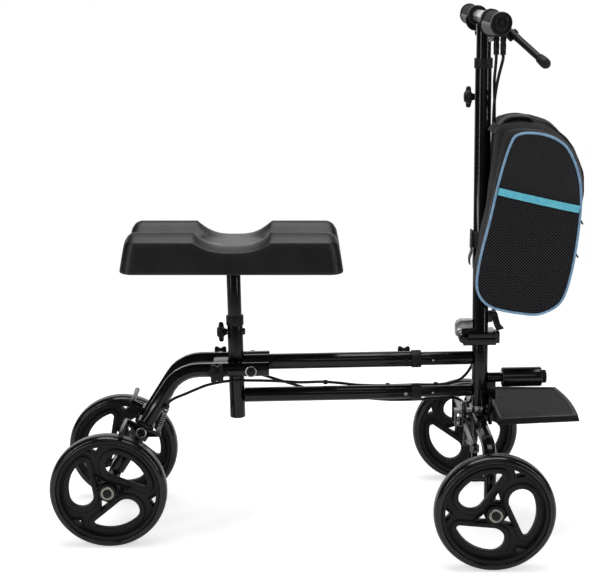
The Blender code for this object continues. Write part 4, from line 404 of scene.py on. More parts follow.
# %% Metals
def metal(name, colour, roughness, brushed=(300, 300, 300), depth=0.00003):
    finish = Finish(name)
    stretch = finish.node("ShaderNodeMapping", inputs={"Vector": finish.place(), "Scale": brushed})
    lines = finish.noise(1, 4, 0.65, stretch)
    mottle = finish.spread(finish.noise(60, 4, 0.6), 0.35, 0.7)
    dull = tuple(c * 0.55 for c in colour)
    return finish.paint(
        base_color=finish.mix(mottle, dull, colour),
        metallic=1.0,
        roughness=roughness + lines * 0.12,
        normal=finish.bump(lines, depth, 0.5),
    )


zinc = metal("zinc_plate", (0.56, 0.56, 0.57), 0.22)
# A darker copy of the zinc: painted shade for plated parts that lie in shadow.
zinc_in_painted_shade = metal("zinc_in_painted_shade", (0.24, 0.24, 0.245), 0.16)
silver = metal("silver_bar", (0.80, 0.80, 0.81), 0.20, (900, 60, 900), 0.00002)
spring_steel = metal("spring_steel", (0.66, 0.66, 0.67), 0.22)
bearing_metal = metal("bearing_ring", (0.63, 0.60, 0.52), 0.25)
dark_steel = metal("dark_steel", (0.10, 0.10, 0.10), 0.32)

# %% [markdown]
# The pad's skin is moulded foam with a fine leather grain. A cell pattern makes the pebbles and two
# noises vary them. The creases between them are kept shallow, because the real pad shines softly.


# %% The pad's skin
def grained_skin():
    finish = Finish("moulded_pad_skin")
    warp = finish.noise(420, 2, 0.5)
    pebbles = finish.spread(finish.cells(620, feature="DISTANCE_TO_EDGE"), 0.0, 0.28)
    fine = finish.noise(1900, 3, 0.6)
    bloom = finish.spread(finish.noise(14, 4, 0.55), 0.35, 0.75)
    return finish.paint(
        base_color=finish.mix(bloom * 0.6, (0.0020, 0.0020, 0.0021), (0.0050, 0.0050, 0.0052)),
        roughness=0.27 + bloom * 0.08 + (1 - pebbles) * 0.10,
        specular_ior_level=0.60,
        normal=finish.bump(pebbles + warp * 0.4 + fine * 0.3, 0.00013, 0.65),
    )


pad_skin = grained_skin()

# %% [markdown]
# The bag uses three cloths: a tight plain weave for its body, a coarse open mesh for the lower half
# of each side, and ribbed webbing for its straps. Warp and weft are sine waves of the cloth's own
# UV map, which is in metres, so that the threads follow the cloth wherever it bends.


# %% Cloth
def woven(name, colour, thread, depth, sheen=0.3, roughness=0.85):
    finish = Finish(name)
    along, across, _ = finish.split(finish.place("UV"))
    warp = (along * (tau / thread)).wave()
    weft = (across * (tau / thread)).wave()
    weave = (warp * weft) * 0.5 + 0.5
    slub = finish.spread(finish.noise(110, 4, 0.6), 0.3, 0.75)
    pale = tuple(min(c * 2.4, 1) for c in colour)
    return finish.paint(
        base_color=finish.mix(weave * 0.35 + slub * 0.30, colour, pale),
        roughness=roughness,
        specular_ior_level=0.25,
        sheen_weight=sheen,
        sheen_roughness=0.5,
        normal=finish.bump(weave + slub * 0.6, depth, 0.8),
    )


def open_mesh():
    """Round holes in a knitted mesh, in rows that are shifted by half a hole; the holes are painted near
    black, for the black panel behind them and painted shade.
    """
    finish = Finish("bag_mesh")
    pitch = 0.0104
    along, across, _ = finish.split(finish.place("UV"))
    hole = ((along + across) * (tau / pitch)).wave() * ((along - across) * (tau / pitch)).wave()
    hole = finish.spread(hole.size(), 0.20, 0.62)
    fuzz = finish.noise(1600, 3, 0.6)
    return finish.paint(
        # The holes are painted near black: the black panel seen through them, darkened further by painted
        # shade.
        base_color=finish.mix(hole, (0.044, 0.042, 0.046), (0.0010, 0.0010, 0.0014)),
        roughness=0.72 + hole * 0.2,
        specular_ior_level=0.12,
        normal=finish.bump((1 - hole) + fuzz * 0.2, 0.0006, 0.9),
    )


body_cloth = woven("bag_body_cloth", (0.009, 0.009, 0.0105), 0.0011, 0.00018, 0.08)
panel_cloth = woven("bag_panel_cloth", (0.011, 0.011, 0.0125), 0.0009, 0.00015)
webbing = woven("bag_webbing", (0.016, 0.016, 0.017), 0.0016, 0.00025)
band_cloth = woven("bag_band", (0.120, 0.54, 0.80), 0.0012, 0.00015, 0.1, 0.6)
piping_cloth = woven("bag_piping", (0.19, 0.33, 0.56), 0.0012, 0.00012, 0.2, 0.55)
mesh_cloth = open_mesh()
print(len(bpy.data.materials), "finishes")

# %% [markdown]
# ## Carrying over the solids
#
# The solids of the frame have the right shape, but their edges are knife-sharp and their triangles
# are loose. Each is copied, its points are merged, its flat faces are dissolved and its edges get a
# small round. The copy then stands for its solid, and rides on the same body.

# %% Which finish goes on which slot
FINISHES = {
    "black_paint": paint,
    "zinc": zinc,
    "black_plastic": plastic,
    "black_rubber": grip_rubber,
    "tyre_rubber": tyre_rubber,
    "pad_skin": pad_skin,
    "bag_fabric": body_cloth,
    "chrome": silver,
}

# These solids look unlike the slot that they are listed in.
LOOKS = {
    "quick_release_lever": smooth_plastic,
    "brake_arm_right": paint,
    "brake_arm_left": paint,
    # The steering arm and tie rod are plated like the strap; their darker zinc is painted shade.
    "steering_arm": zinc_in_painted_shade,
    "tie_rod": zinc_in_painted_shade,
}


def painted(piece, material):
    """Give a piece one material."""
    piece.data.materials.clear()
    piece.data.materials.append(material)
    return piece


def fixed_to(piece, body, slot, *nodes):
    """Let a piece ride on a body and stand for some solids. The slot is not used."""
    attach(piece, body)
    if nodes:
        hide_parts(*nodes)
    return piece


def named(piece, name):
    piece.name = name
    piece.data.name = name
    return piece


def solid_copy(node):
    """A clean copy of a solid of the frame, with merged points and whole flat faces."""
    piece = copied(frame["nodes"][node])
    for key in list(piece.keys()):
        del piece[key]
    piece.parent = None
    piece.matrix_world = Matrix.Identity(4)
    only(piece)
    bpy.ops.mesh.customdata_custom_splitnormals_clear()
    with edit_mode(cleaned(piece)):
        bpy.ops.mesh.dissolve_limited(angle_limit=radians(0.5))
    return piece


def carried_over(node):
    """Stand a finished copy in for a solid whose shape is right."""
    piece = named(softened(solid_copy(node)), node + "_finished")
    painted(piece, LOOKS.get(node, FINISHES[slots[node]]))
    return fixed_to(piece, body_of_node[node], slots[node], node)

# %% Carry over the tubes, brackets and joints
REMADE = {
    "knee_pad", "carry_bag", "front_grip", "seat_knob", "beam_knob", "column_knob",
    "footplate", "footplate_bracket", "brake_lever",
}
for side in ("right", "left"):
    REMADE |= {f"{part}_{side}" for part in ("brake_spring", "brake_cable", "grip", "leg_knob")}
    REMADE |= {f"{end}_{side}_{part}" for end in ("front", "rear") for part in ("wheel", "tyre")}
for node in sorted(set(slots) - REMADE):
    carried_over(node)
print(len(slots) - len(REMADE), "solids carried over")

# %% [markdown]
# ## Wheels
#
# Each wheel is one moulding. Three comma-shaped windows go right through its thin web. Each has a
# flat raised border with a lip round it. Between the borders there are three-cornered pockets at the
# hub and small gaps at the rim, which have deep walls. A comma is a big circle and a small one,
# joined by a straight side and an outer arc, so growing all its radii gives the border's outline.


# %% Flat outlines and turned shapes
def flat_shape(name, outlines, half_thickness, edge=0.0):
    """A plate in the XZ plane: the first outline is its border and the others are holes."""
    curve = bpy.data.curves.new(name, "CURVE")
    curve.dimensions = "2D"
    curve.fill_mode = "BOTH"
    curve.extrude = half_thickness - edge
    curve.bevel_depth = edge
    curve.bevel_resolution = 1
    curve.offset = -edge
    for outline in outlines:
        spline = curve.splines.new("POLY")
        spline.points.add(len(outline) - 1)
        for point, (x, z) in zip(spline.points, outline):
            point.co = (x, z, 0, 1)
        spline.use_cyclic_u = True
    plate = bpy.data.objects.new(name, curve)
    bpy.context.scene.collection.objects.link(plate)
    plate.rotation_euler = (pi / 2, 0, 0)
    only(plate)
    bpy.ops.object.convert(target="MESH")
    plate = bpy.context.object
    settle(plate)
    return cleaned(plate)


def wire(name, points, radius, closed=False, sides=8):
    """A round wire along a path, closed by caps or on itself."""
    curve = bpy.data.curves.new(name, "CURVE")
    curve.dimensions = "3D"
    curve.bevel_depth = radius
    curve.bevel_resolution = sides // 2 - 2
    curve.use_fill_caps = not closed
    spline = curve.splines.new("POLY")
    spline.points.add(len(points) - 1)
    for point, place in zip(spline.points, points):
        point.co = (*place, 1)
    spline.use_cyclic_u = closed
    cord = bpy.data.objects.new(name, curve)
    bpy.context.scene.collection.objects.link(cord)
    only(cord)
    bpy.ops.object.convert(target="MESH")
    return smoothed(cleaned(bpy.context.object), 60)


def spun(name, profile, steps=64):
    """Spin a closed profile of (radius, y) points about the Y axis: a circle, reshaped and spun."""
    bpy.ops.mesh.primitive_circle_add(vertices=len(profile), fill_type="NOTHING")
    ring = named(bpy.context.object, name)
    for vertex, (radius, y) in zip(ring.data.vertices, profile):
        vertex.co = (radius, y, 0)
    with edit_mode(ring):
        bpy.ops.mesh.spin(steps=steps, angle=tau, center=(0, 0, 0), axis=(0, 1, 0))
    return smoothed(cleaned(ring, 0.000001), 40)


def pull(by):
    """Extrude the selected face along Y."""
    bpy.ops.mesh.extrude_region_move(TRANSFORM_OT_translate={"value": (0, by, 0)})


def stacked(name, profile, sides):
    """Pull a disc up step by step: each (radius, y) extrudes the last face and resizes it."""
    radius, y = profile[0]
    facing = {"fill_type": "NGON", "rotation": (pi / 2, 0, 0)}
    bpy.ops.mesh.primitive_circle_add(vertices=sides, radius=radius, **facing)
    post = settle(named(bpy.context.object, name))
    for vertex in post.data.vertices:
        vertex.co.y = y
    with edit_mode(post):
        for wider, further in profile[1:]:
            pull(further - y)
            share = wider / radius
            bpy.ops.transform.resize(value=(share, 1, share), center_override=(0, 0, 0))
            radius, y = wider, further
        bpy.ops.mesh.select_all(action="SELECT")
        bpy.ops.mesh.normals_make_consistent(inside=False)
    return smoothed(post, 40)


def arc(centre, radius, start, end, count):
    step = (end - start) / (count - 1)
    angles = [start + step * i for i in range(count)]
    return [(centre[0] + radius * cos(a), centre[1] + radius * sin(a)) for a in angles]


# %% The comma window and its border
WINDOW_REACH = 0.0685
WINDOW_HEAD = 0.0210
WINDOW_TIP = 0.0052
WINDOW_SPAN = radians(61)
BORDER_WIDTH = 0.0098
BORDER_HALF = 0.0062
BORDER_EDGE = 0.0008
LIP_RADIUS = 0.0008
LIP_INSET = 0.0009
WEB_RADIUS = 0.0845
WEB_HALF = 0.0042
HUB_BORE = 0.0105
WALL_HALF = 0.0108
WALL_WIDTH = 0.00224
THIN_EDGE = 0.0003
POCKET_TURN = radians(62)
POCKET_CORNERS = ((0.0385, 0), (0.0200, radians(28)), (0.0195, -radians(25)))
GAP_TURN = radians(36)
GAP_CORNERS = ((0.0832, radians(8.5)), (0.0705, 0), (0.0832, -radians(8.5)))
WINDOW_SLACK = 0.0004
RIM_HALF = 0.0143


def comma(turn, grow=0.0):
    """The comma's outline, turned about the wheel's axle and grown all round."""
    head_at = WINDOW_REACH - WINDOW_HEAD
    head = Vector((head_at * cos(turn), head_at * sin(turn)))
    tip_turn = turn - WINDOW_SPAN
    tip_at = WINDOW_REACH - WINDOW_TIP
    tip = Vector((tip_at * cos(tip_turn), tip_at * sin(tip_turn)))
    reach = tip - head
    touch = acos((WINDOW_HEAD - WINDOW_TIP) / reach.length)
    tangent = (atan2(reach.y, reach.x) - touch - turn) % tau + turn
    points = arc(head, WINDOW_HEAD + grow, turn, tangent, 22)
    points += arc(tip, WINDOW_TIP + grow, tangent, tip_turn + tau, 9)
    return points + arc((0, 0), WINDOW_REACH + grow, tip_turn, turn, 18)[1:-1]


def opening_at(turn, corners):
    """A small opening of the web, from the (radius, angle) of its corners."""
    return [(radius * cos(turn + angle), radius * sin(turn + angle)) for radius, angle in corners]


def grown(outline, distance):
    """A small outline, scaled up about its middle."""
    corners = [Vector(corner) for corner in outline]
    middle = sum(corners, Vector((0, 0))) / len(corners)
    return [middle + (c - middle) * (1 + distance / (c - middle).length) for c in corners]


def wheel_face():
    """The web with its openings, the three raised borders, and the deep walls of the small openings."""
    pieces = []
    outlines = [arc((0, 0), WEB_RADIUS, 0, tau, 97)[:-1], arc((0, 0), HUB_BORE, 0, tau, 25)[:-1]]
    for i in range(3):
        turn = tau * i / 3
        edges = [comma(turn, BORDER_WIDTH), comma(turn)]
        pieces.append(smoothed(flat_shape("border", edges, BORDER_HALF, BORDER_EDGE), 30))
        for side in (-1, 1):
            lip = [(x, side * BORDER_HALF, z) for x, z in comma(turn, BORDER_WIDTH - LIP_INSET)]
            pieces.append(wire("lip", lip, LIP_RADIUS, True, 6))
        pocket = opening_at(turn - POCKET_TURN, POCKET_CORNERS)
        gap = opening_at(turn + GAP_TURN, GAP_CORNERS)
        for opening in (pocket, gap):
            wall = flat_shape("wall", [grown(opening, WALL_WIDTH), opening], WALL_HALF, THIN_EDGE)
            pieces.append(smoothed(wall, 30))
        outlines += [comma(turn, WINDOW_SLACK), pocket, gap]
    pieces.append(flat_shape("web", outlines, WEB_HALF, THIN_EDGE))
    return pieces


# %% [markdown]
# The rim and the hub are turned shapes. The rim's section has a rounded lip on each side with a
# groove inside it, where the web's edge meets the rim. The hub stands out on both sides.


# %% Rim, hub and tyre sections
RIM_SIDE = (
    (0.0816, 0.0030), (0.0816, 0.0100), (0.0819, 0.0122), (0.0828, 0.0131), (0.0840, 0.0132),
    (0.0844, 0.0137), (0.0854, RIM_HALF), (0.0868, RIM_HALF), (0.0877, 0.0136), (0.0880, 0.0120),
)
HUB_SIDE = (
    (0.0044, 0.0140), (0.0062, 0.0150), (0.0118, 0.0150), (0.0118, 0.0171), (0.0138, 0.0175),
    (0.0150, 0.0165),
)
TYRE_SIDE = (
    (0.0882, 0.0140), (0.0888, 0.0153), (0.0898, 0.0161), (0.0906, 0.0162), (0.0912, 0.0156),
    (0.0920, 0.0155), (0.0938, 0.0154), (0.0957, 0.0144), (0.0974, 0.0126), (0.0988, 0.0100),
    (0.0996, 0.0072), (0.1000, 0.0038),
)


def both_sides(profile):
    """A closed section: one half and its mirror image."""
    return [*profile, *((radius, -y) for radius, y in reversed(profile))]


rim = spun("rim", both_sides(RIM_SIDE), 96)
wheel = merged(*wheel_face(), rim, spun("hub", both_sides(HUB_SIDE), 40))
painted(named(wheel, "wheel_pattern"), wheel_plastic)
tyre = painted(spun("tyre_pattern", both_sides(TYRE_SIDE), 128), tyre_rubber)

# %% [markdown]
# A bearing sits in each hub: a bright ring with a dark seal. In front of it is the axle's bolt head,
# a dark disc pulled up in steps. The four wheels stand at different turns.

# %% Bearing ring and bolt head
BEARING = (
    (0.0072, 0.0174), (0.0078, 0.0188), (0.0110, 0.0188), (0.0120, 0.0176), (0.0120, 0.0152),
    (0.0072, 0.0152),
)
SEAL = ((0.0090, 0.0186), (0.0092, 0.0191), (0.0095, 0.0191), (0.0097, 0.0186))
BOLT_HEAD = ((0.0064, 0.0167), (0.0066, 0.0222), (0.0058, 0.0230))
bearing = painted(spun("bearing_pattern", BEARING, 48), bearing_metal)
seal = painted(spun("seal_pattern", SEAL, 40), dark_steel)
head = painted(stacked("bolt_head", BOLT_HEAD, 30), plastic)

WHEEL_TURNS = {"front_right": 145, "front_left": 115, "rear_right": 190, "rear_left": 170}
for corner, phase in WHEEL_TURNS.items():
    low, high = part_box(corner + "_tyre")
    centre = (low + high) / 2
    at = Matrix.Translation(centre) @ Matrix.Rotation(-radians(phase) - FRAME_PITCH, 4, "Y")
    side = -1 if corner.endswith("right") else 1
    outward = Matrix.Translation(centre) @ Matrix.Scale(side, 4, (0, 1, 0))
    disc = named(copied(wheel, at), corner + "_wheel_moulding")
    fixed_to(disc, corner + "_wheel", "black_plastic", corner + "_wheel")
    band = named(copied(tyre, at), corner + "_tyre_band")
    fixed_to(band, corner + "_wheel", "tyre_rubber", corner + "_tyre")
    ring = named(copied(bearing, outward), corner + "_bearing")
    fixed_to(ring, corner + "_wheel", "zinc")
    fixed_to(named(copied(seal, outward), corner + "_bearing_seal"), corner + "_wheel", "black_rubber")
    bolt = named(copied(head, outward), corner + "_bolt_head")
    fixed_to(bolt, "rear_legs" if corner.startswith("rear") else corner[6:] + "_knuckle", "zinc")
for pattern in (wheel, tyre, bearing, seal, head):
    bpy.data.objects.remove(pattern)
print("four wheels")

# %% [markdown]
# ## Knee pad
#
# Soft and moulded shapes are drawn as rings: a grid is added, and each of its rows is laid round one
# ring of the shape. The grid's UV map is set in metres along and across the rows, so that a weave
# has the same scale everywhere. A row whose points all meet in one place closes an end.


# %% Shapes made of rings
def lofted(name, rows, closed=True, flat_rows=0):
    """Lay a grid's rows round rings of points. The first and last flat_rows take a flat UV map."""
    rows = [[Vector(point) for point in row] for row in rows]
    count = len(rows[0])
    columns = count + closed
    bpy.ops.mesh.primitive_grid_add(x_subdivisions=columns - 1, y_subdivisions=len(rows) - 1)
    piece = named(bpy.context.object, name)
    places = []
    drop = 0.0
    for j, row in enumerate(rows):
        if j > 0:
            drop += sum((a - b).length for a, b in zip(row, rows[j - 1])) / count
        along = 0.0
        for i in range(columns):
            here = row[i % count]
            if i > 0:
                along += (here - row[i - 1]).length
            piece.data.vertices[j * columns + i].co = here
            flat = j < flat_rows or j >= len(rows) - flat_rows
            places.append((here.x, here.z) if flat else (along, drop))
    layer = piece.data.uv_layers.active
    for loop in piece.data.loops:
        layer.data[loop.index].uv = places[loop.vertex_index]
    return smoothed(cleaned(piece), 50) if closed else smoothed(piece, 50)


def through(points, per_span, closed=False):
    """A smooth curve through chosen points (Catmull-Rom)."""
    points = [Vector(p) for p in points]
    if closed:
        padded = [points[-1], *points, points[0], points[1]]
    else:
        padded = [2 * points[0] - points[1], *points, 2 * points[-1] - points[-2]]
    path = []
    for i in range(1, len(padded) - 2):
        p0, p1, p2, p3 = padded[i - 1:i + 3]
        for k in range(per_span):
            t = k / per_span
            bend = 2 * p0 - 5 * p1 + 4 * p2 - p3
            twist = 3 * p1 - p0 - 3 * p2 + p3
            path.append(0.5 * (2 * p1 + (p2 - p0) * t + bend * t * t + twist * t ** 3))
    return path if closed else path + [points[-1]]


# %% [markdown]
# The pad is one moulded cushion on a plate: two long ridges with a trough between them, a dip across
# the middle, rounded shoulders and drafted sides. Its rings run round a rectangle with round corners,
# from the middle of the top out to the border, down the sides and in again below. The skin is fixed
# to the foam all over and can't move on its own, so its shape is moulded and not simulated.

# %% The saddle's shape
PAD_LENGTH = 0.3735
PAD_WIDTH = 0.1780
PAD_HEIGHT = 0.0655
TROUGH_DEPTH = 0.0240
CREST_Y = 0.0520
SIDE_DRAFT = 0.0110
DIP_CENTRE = 0.0012
DIP_HALF = 0.0650
CORNER_RADIUS = 0.0200
TROUGH_FLOOR = 0.0150
END_ROUND = 0.0170
SHOULDER_DROP = 0.0050
RIDGE_DROP = 0.0075
BORDER_STEP = 0.0042
half_length = PAD_LENGTH / 2 - SIDE_DRAFT
half_width = PAD_WIDTH / 2 - SIDE_DRAFT


def eased(share):
    """A smooth step from 0 to 1."""
    share = min(max(share, 0), 1)
    return share * share * (3 - 2 * share)


def saddle(x, y):
    """Height of the pad's top over its underside."""
    from_dip = abs(x - DIP_CENTRE) / DIP_HALF
    ridge = 1 if from_dip >= 1 else 1 - cos(from_dip ** 1.5 * pi / 2)
    across = eased((abs(y) - TROUGH_FLOOR) / (CREST_Y - TROUGH_FLOOR))
    height = PAD_HEIGHT - TROUGH_DEPTH * (1 - ridge * across)
    outside = max(abs(y) - CREST_Y, 0) / (half_width - CREST_Y)
    height -= (SHOULDER_DROP + RIDGE_DROP * ridge * across) * outside ** 1.35
    past_end = min(max(END_ROUND - half_length + abs(x), 0) / END_ROUND, 1) * 0.93
    return height - END_ROUND * (1 - sqrt(1 - past_end ** 2)) * (0.45 + 0.55 * across)


def pad_border():
    """A rectangle with round corners, walked round at even steps."""
    points = []
    for i, (side_x, side_y) in enumerate(((1, 1), (-1, 1), (-1, -1), (1, -1))):
        centre = (side_x * (half_length - CORNER_RADIUS), side_y * (half_width - CORNER_RADIUS))
        points += arc(centre, CORNER_RADIUS, i * pi / 2, (i + 1) * pi / 2, 9)
    return points


corners = pad_border()
border = []
for i, here in enumerate(corners):
    after = corners[(i + 1) % len(corners)]
    reach = (Vector(after) - Vector(here)).length
    steps = max(1, round(reach / BORDER_STEP))
    border += [Vector(here).lerp(Vector(after), k / steps) for k in range(steps)]
TOP_SHARES = [k / 36 for k in range(33)] + [0.91, 0.93, 0.945, 0.96, 0.972, 0.982, 0.991, 1.0]
rows = []
for share in TOP_SHARES:
    rows.append([Vector((p.x * share, p.y * share, saddle(p.x * share, p.y * share))) for p in border])
SIDE_STEPS = (
    (0.0008, 0.985), (0.0018, 0.955), (0.0030, 0.89), (0.0048, 0.74), (0.0068, 0.55), (0.0089, 0.32),
    (0.0104, 0.14), (0.0110, 0.075), (0.0110, 0.040), (0.0104, 0.014), (0.0090, 0.0), (0.0040, 0.0),
)
for outward, share in SIDE_STEPS:
    row = []
    for p in border:
        wider = Vector((p.x * (1 + outward / half_length), p.y * (1 + outward / half_width)))
        row.append(Vector((wider.x, wider.y, saddle(p.x, p.y) * share)))
    rows.append(row)
for share in (0.6, 0.0):
    rows.append([Vector((p.x * share, p.y * share, 0)) for p in border])
pad = lofted("pad_cushion", rows)
low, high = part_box("knee_pad")
moved(pad, Matrix.Translation(((low.x + high.x) / 2, 0, low.z)))
painted(smoothed(pad, 70), pad_skin)
fixed_to(pad, "seat", "pad_skin", "knee_pad")
print("pad of", len(pad.data.vertices), "points")

# %% [markdown]
# ## Carry bag
#
# The bag is a soft cloth shell between two drop-shaped side panels. Both outlines were measured from
# the side: the panel's own, and the fuller one of the cloth between the panels. The shell's rings
# swell from the one to the other and back. It hangs a little askew, with its far side further
# forward. Its back is pressed in round the column, and small noise pushes the cloth in and out.

# %% The bag's outlines
BAG_HALF = 0.0950
BAG_TURN = 0.0200
CHANNEL_FRONT = 0.0262
CHANNEL_HALF = 0.0245
PANEL_BULGE = 0.0060
PANEL_OUTLINE = (
    (0.0605, 0.6072), (0.0430, 0.6040), (0.0346, 0.5953), (0.0225, 0.5603), (0.0123, 0.5198),
    (0.0001, 0.4609), (-0.0119, 0.4144), (-0.0193, 0.3700), (-0.0180, 0.3440), (-0.0044, 0.3247),
    (0.0177, 0.3136), (0.0694, 0.3045), (0.0900, 0.3063), (0.1150, 0.3190), (0.1289, 0.3433),
    (0.1413, 0.4036), (0.1488, 0.4811), (0.1453, 0.5324), (0.1289, 0.5745), (0.1135, 0.5911),
    (0.0906, 0.6029),
)
BODY_OUTLINE = (
    (0.0600, 0.6225), (0.0330, 0.6195), (0.0190, 0.6110), (0.0150, 0.5650), (0.0110, 0.5198),
    (0.0020, 0.4609), (-0.0080, 0.4144), (-0.0130, 0.3700), (-0.0120, 0.3440), (-0.0010, 0.3230),
    (0.0200, 0.3110), (0.0700, 0.3010), (0.0940, 0.3035), (0.1200, 0.3175), (0.1340, 0.3440),
    (0.1490, 0.4036), (0.1620, 0.4750), (0.1650, 0.5240), (0.1500, 0.5670), (0.1275, 0.5960),
    (0.1000, 0.6150),
)
PANEL_MIDDLE = Vector((0.0680, 0.4600))
CREASE_DEPTH = 0.0030
RIPPLE_DEPTH = 0.0022
CHANNEL_TOP = 0.612


def rounded_ring(outline, passes):
    """A closed curve through the outline's points, with its tight corners eased."""
    ring = through([(u, w, 0) for u, w in outline], 8, True)
    for _ in range(passes):
        ring = [(ring[i - 1] + 2 * ring[i] + ring[(i + 1) % len(ring)]) / 4 for i in range(len(ring))]
    return ring


panel_ring = rounded_ring(PANEL_OUTLINE, 14)
body_ring = rounded_ring(BODY_OUTLINE, 10)
print(len(panel_ring), "points round the bag")


# %% Rings of the shell and of its side panels
def bag_ring(side, fullness):
    """One ring of the cloth between the panels, at a share of the half width."""
    y = side * BAG_HALF
    ring = []
    for panel, body in zip(panel_ring, body_ring):
        shift = BAG_TURN * (side + 1) / 2
        start = Vector((panel.x + shift, panel.y))
        full = Vector((body.x + BAG_TURN * side / 2, body.y))
        here = start.lerp(full, fullness)
        outward = (here - PANEL_MIDDLE).normalized()
        crease = noise.noise(Vector((here.x * 22, y * 34, here.y * 22)))
        crease += 0.5 * noise.noise(Vector((here.x * 60, y * 90, here.y * 60)))
        here += outward * crease * CREASE_DEPTH * min(1, 2 * fullness) * (1 - 0.35 * abs(side))
        past = max(0, abs(y) - CHANNEL_HALF)
        if here.y < CHANNEL_TOP:
            here.x = max(here.x, CHANNEL_FRONT - 2.6 * past)
        ring.append(spot(here.x, y, here.y))
    return ring


def panel_rings(side, lift=0.0, shares=26):
    """Rings of a side panel, from its middle out to its piping."""
    shift = BAG_TURN * (side + 1) / 2
    rings = []
    for k in range(shares + 1):
        share = k / shares
        ring = []
        for edge in panel_ring:
            at = PANEL_MIDDLE.lerp(Vector((edge.x, edge.y)), share)
            ripple = noise.noise(Vector((at.x * 26 + 3, side, at.y * 15)))
            out = (PANEL_BULGE + RIPPLE_DEPTH * ripple) * (1 - share ** 3) + lift * (1 - share ** 8)
            ring.append(spot(at.x + shift, side * (BAG_HALF + out), at.y))
        rings.append(ring)
    return rings


SHELL_STEPS = (
    (0.995, 0.10), (0.985, 0.22), (0.96, 0.36), (0.92, 0.52), (0.85, 0.70), (0.76, 0.85),
    (0.66, 0.95), (0.55, 1.0), (0.45, 1.0), (0.38, 1.0), (0.325, 1.0), (0.285, 1.0), (0.255, 1.0),
    (0.17, 1.0), (0.08, 1.0),
)
near_half = [bag_ring(-side, fullness) for side, fullness in SHELL_STEPS]
far_half = [bag_ring(side, fullness) for side, fullness in reversed(SHELL_STEPS)]
rows = panel_rings(-1) + near_half + [bag_ring(0, 1)] + far_half + list(reversed(panel_rings(1)))
bag = lofted("bag_shell", rows, flat_rows=27)
painted(bag, body_cloth)
bag.data.materials.append(panel_cloth)
bag.data.materials.append(webbing)
for polygon in bag.data.polygons:
    aside = abs(polygon.center.y)
    polygon.material_index = 1 if aside > BAG_HALF + 0.00005 else 2 if aside > 0.92 * BAG_HALF else 0
fixed_to(bag, "column", "bag_fabric", "carry_bag")
print("shell of", len(bag.data.polygons), "faces")

# %% [markdown]
# Each side has a mesh pocket below a bright band. The pocket is a copy of the panel's surface,
# a little fuller, cut off along a slanting line with bisect and then thickened. The band lies over
# the pocket's top edge, and piping covers the seam all round. The far side's set is a mirror image.

# %% Mesh pocket, band and piping
BAND_LEFT = (0.0140, 0.5133)
BAND_RIGHT = (0.1446, 0.4811)
BAND_WIDTH = 0.0118
BAND_LIFT = 0.0031
POCKET_LIFT = 0.0022
PIPING_RADIUS = 0.0021
slope = Vector((BAND_RIGHT[0] - BAND_LEFT[0], 0, BAND_RIGHT[1] - BAND_LEFT[1])).normalized()
upright = Vector((-slope.z, 0, slope.x))
turned_up = TIPPED.to_3x3() @ upright
pocket = lofted("bag_pocket_right", panel_rings(-1, POCKET_LIFT), flat_rows=99)
cut_at = spot(BAND_LEFT[0], 0, BAND_LEFT[1])
with edit_mode(pocket):
    bpy.ops.mesh.bisect(plane_co=cut_at, plane_no=turned_up, clear_outer=True, threshold=0.00001)
use(pocket, "SOLIDIFY", thickness=0.0008, offset=-1)
painted(smoothed(pocket, 50), mesh_cloth)

length = (Vector(BAND_RIGHT) - Vector(BAND_LEFT)).length
rows = []
for j in range(6):
    up = (j / 5 - 0.5) * BAND_WIDTH
    row = []
    for i in range(61):
        at = Vector((BAND_LEFT[0], 0, BAND_LEFT[1])) + slope * (length * i / 60) + upright * up
        row.append(spot(at.x, -BAG_HALF - 0.02, at.z))
    rows.append(row)
band = lofted("bag_band_right", rows, closed=False)
both_ways = {"use_positive_direction": True, "use_negative_direction": True, "use_project_y": True}
above = {"wrap_method": "PROJECT", "wrap_mode": "ABOVE_SURFACE", "offset": BAND_LIFT}
use(band, "SHRINKWRAP", target=bag, **above, **both_ways)
use(band, "SOLIDIFY", thickness=0.0012, offset=0)
painted(smoothed(cleaned(band), 50), band_cloth)

path = [spot(p.x, -BAG_HALF - 0.0004, p.y) for p in panel_ring]
piping = painted(wire("bag_piping_right", path, PIPING_RADIUS, True, 10), piping_cloth)
flip = Matrix.Scale(-1, 4, (0, 1, 0))
across = TIPPED @ Matrix.Translation((BAG_TURN, 0, 0)) @ flip @ TIPPED.inverted()
for piece in (pocket, band, piping):
    fixed_to(piece, "column", "bag_fabric")
    twin = named(copied(piece, across), piece.name.replace("right", "left"))
    fixed_to(twin, "column", "bag_fabric")

# %% [markdown]
# A zip runs over the top and down the front. It is drawn as a narrow tape that follows the shell's
# rings, with its closed teeth as one ridge, and has a small metal slider at its front end. The
# straps are ribbons of webbing: one helper lays a flat strip along a path and thickens it.


# %% Zip, handle and straps
def ribbon(name, path, across, width, thickness):
    """A flat strip along a path of world points, thickened evenly, which rides on the column."""
    across = Vector(across).normalized()
    rows = [[point + across * width * (k / 4 - 0.5) for point in path] for k in range(5)]
    strip = lofted(name, rows, closed=False)
    use(strip, "SOLIDIFY", thickness=thickness, offset=0)
    rounded(strip, thickness * 0.3, 2, 50)
    painted(smoothed(cleaned(strip)), webbing)
    return fixed_to(strip, "column", "bag_fabric")


def strap_path(*points):
    """A smooth path through points of the beams' axes."""
    return through([spot(*point) for point in points], 8)


def over_shell(lift):
    """World points along the zip's ring of the shell, from low at the front to behind the top."""
    ring = bag_ring(ZIP_SIDE, 1)
    middle = spot(PANEL_MIDDLE.x, ZIP_SIDE * BAG_HALF, PANEL_MIDDLE.y)
    points = []
    for k in range(ZIP_FIRST, ZIP_LAST + 1):
        here = ring[k]
        away = here - middle
        away.y = 0
        points.append(here + away.normalized() * lift)
    return points


ZIP_SIDE = -0.42
ZIP_FIRST, ZIP_LAST = -56, 10
zip_path = over_shell(0.0008)
ribbon("bag_zip_tape", zip_path, (0, 1, 0), 0.020, 0.0008)
teeth = wire("bag_zip_teeth", over_shell(0.0016), 0.0015)
fixed_to(painted(teeth, smooth_plastic), "column", "black_plastic")


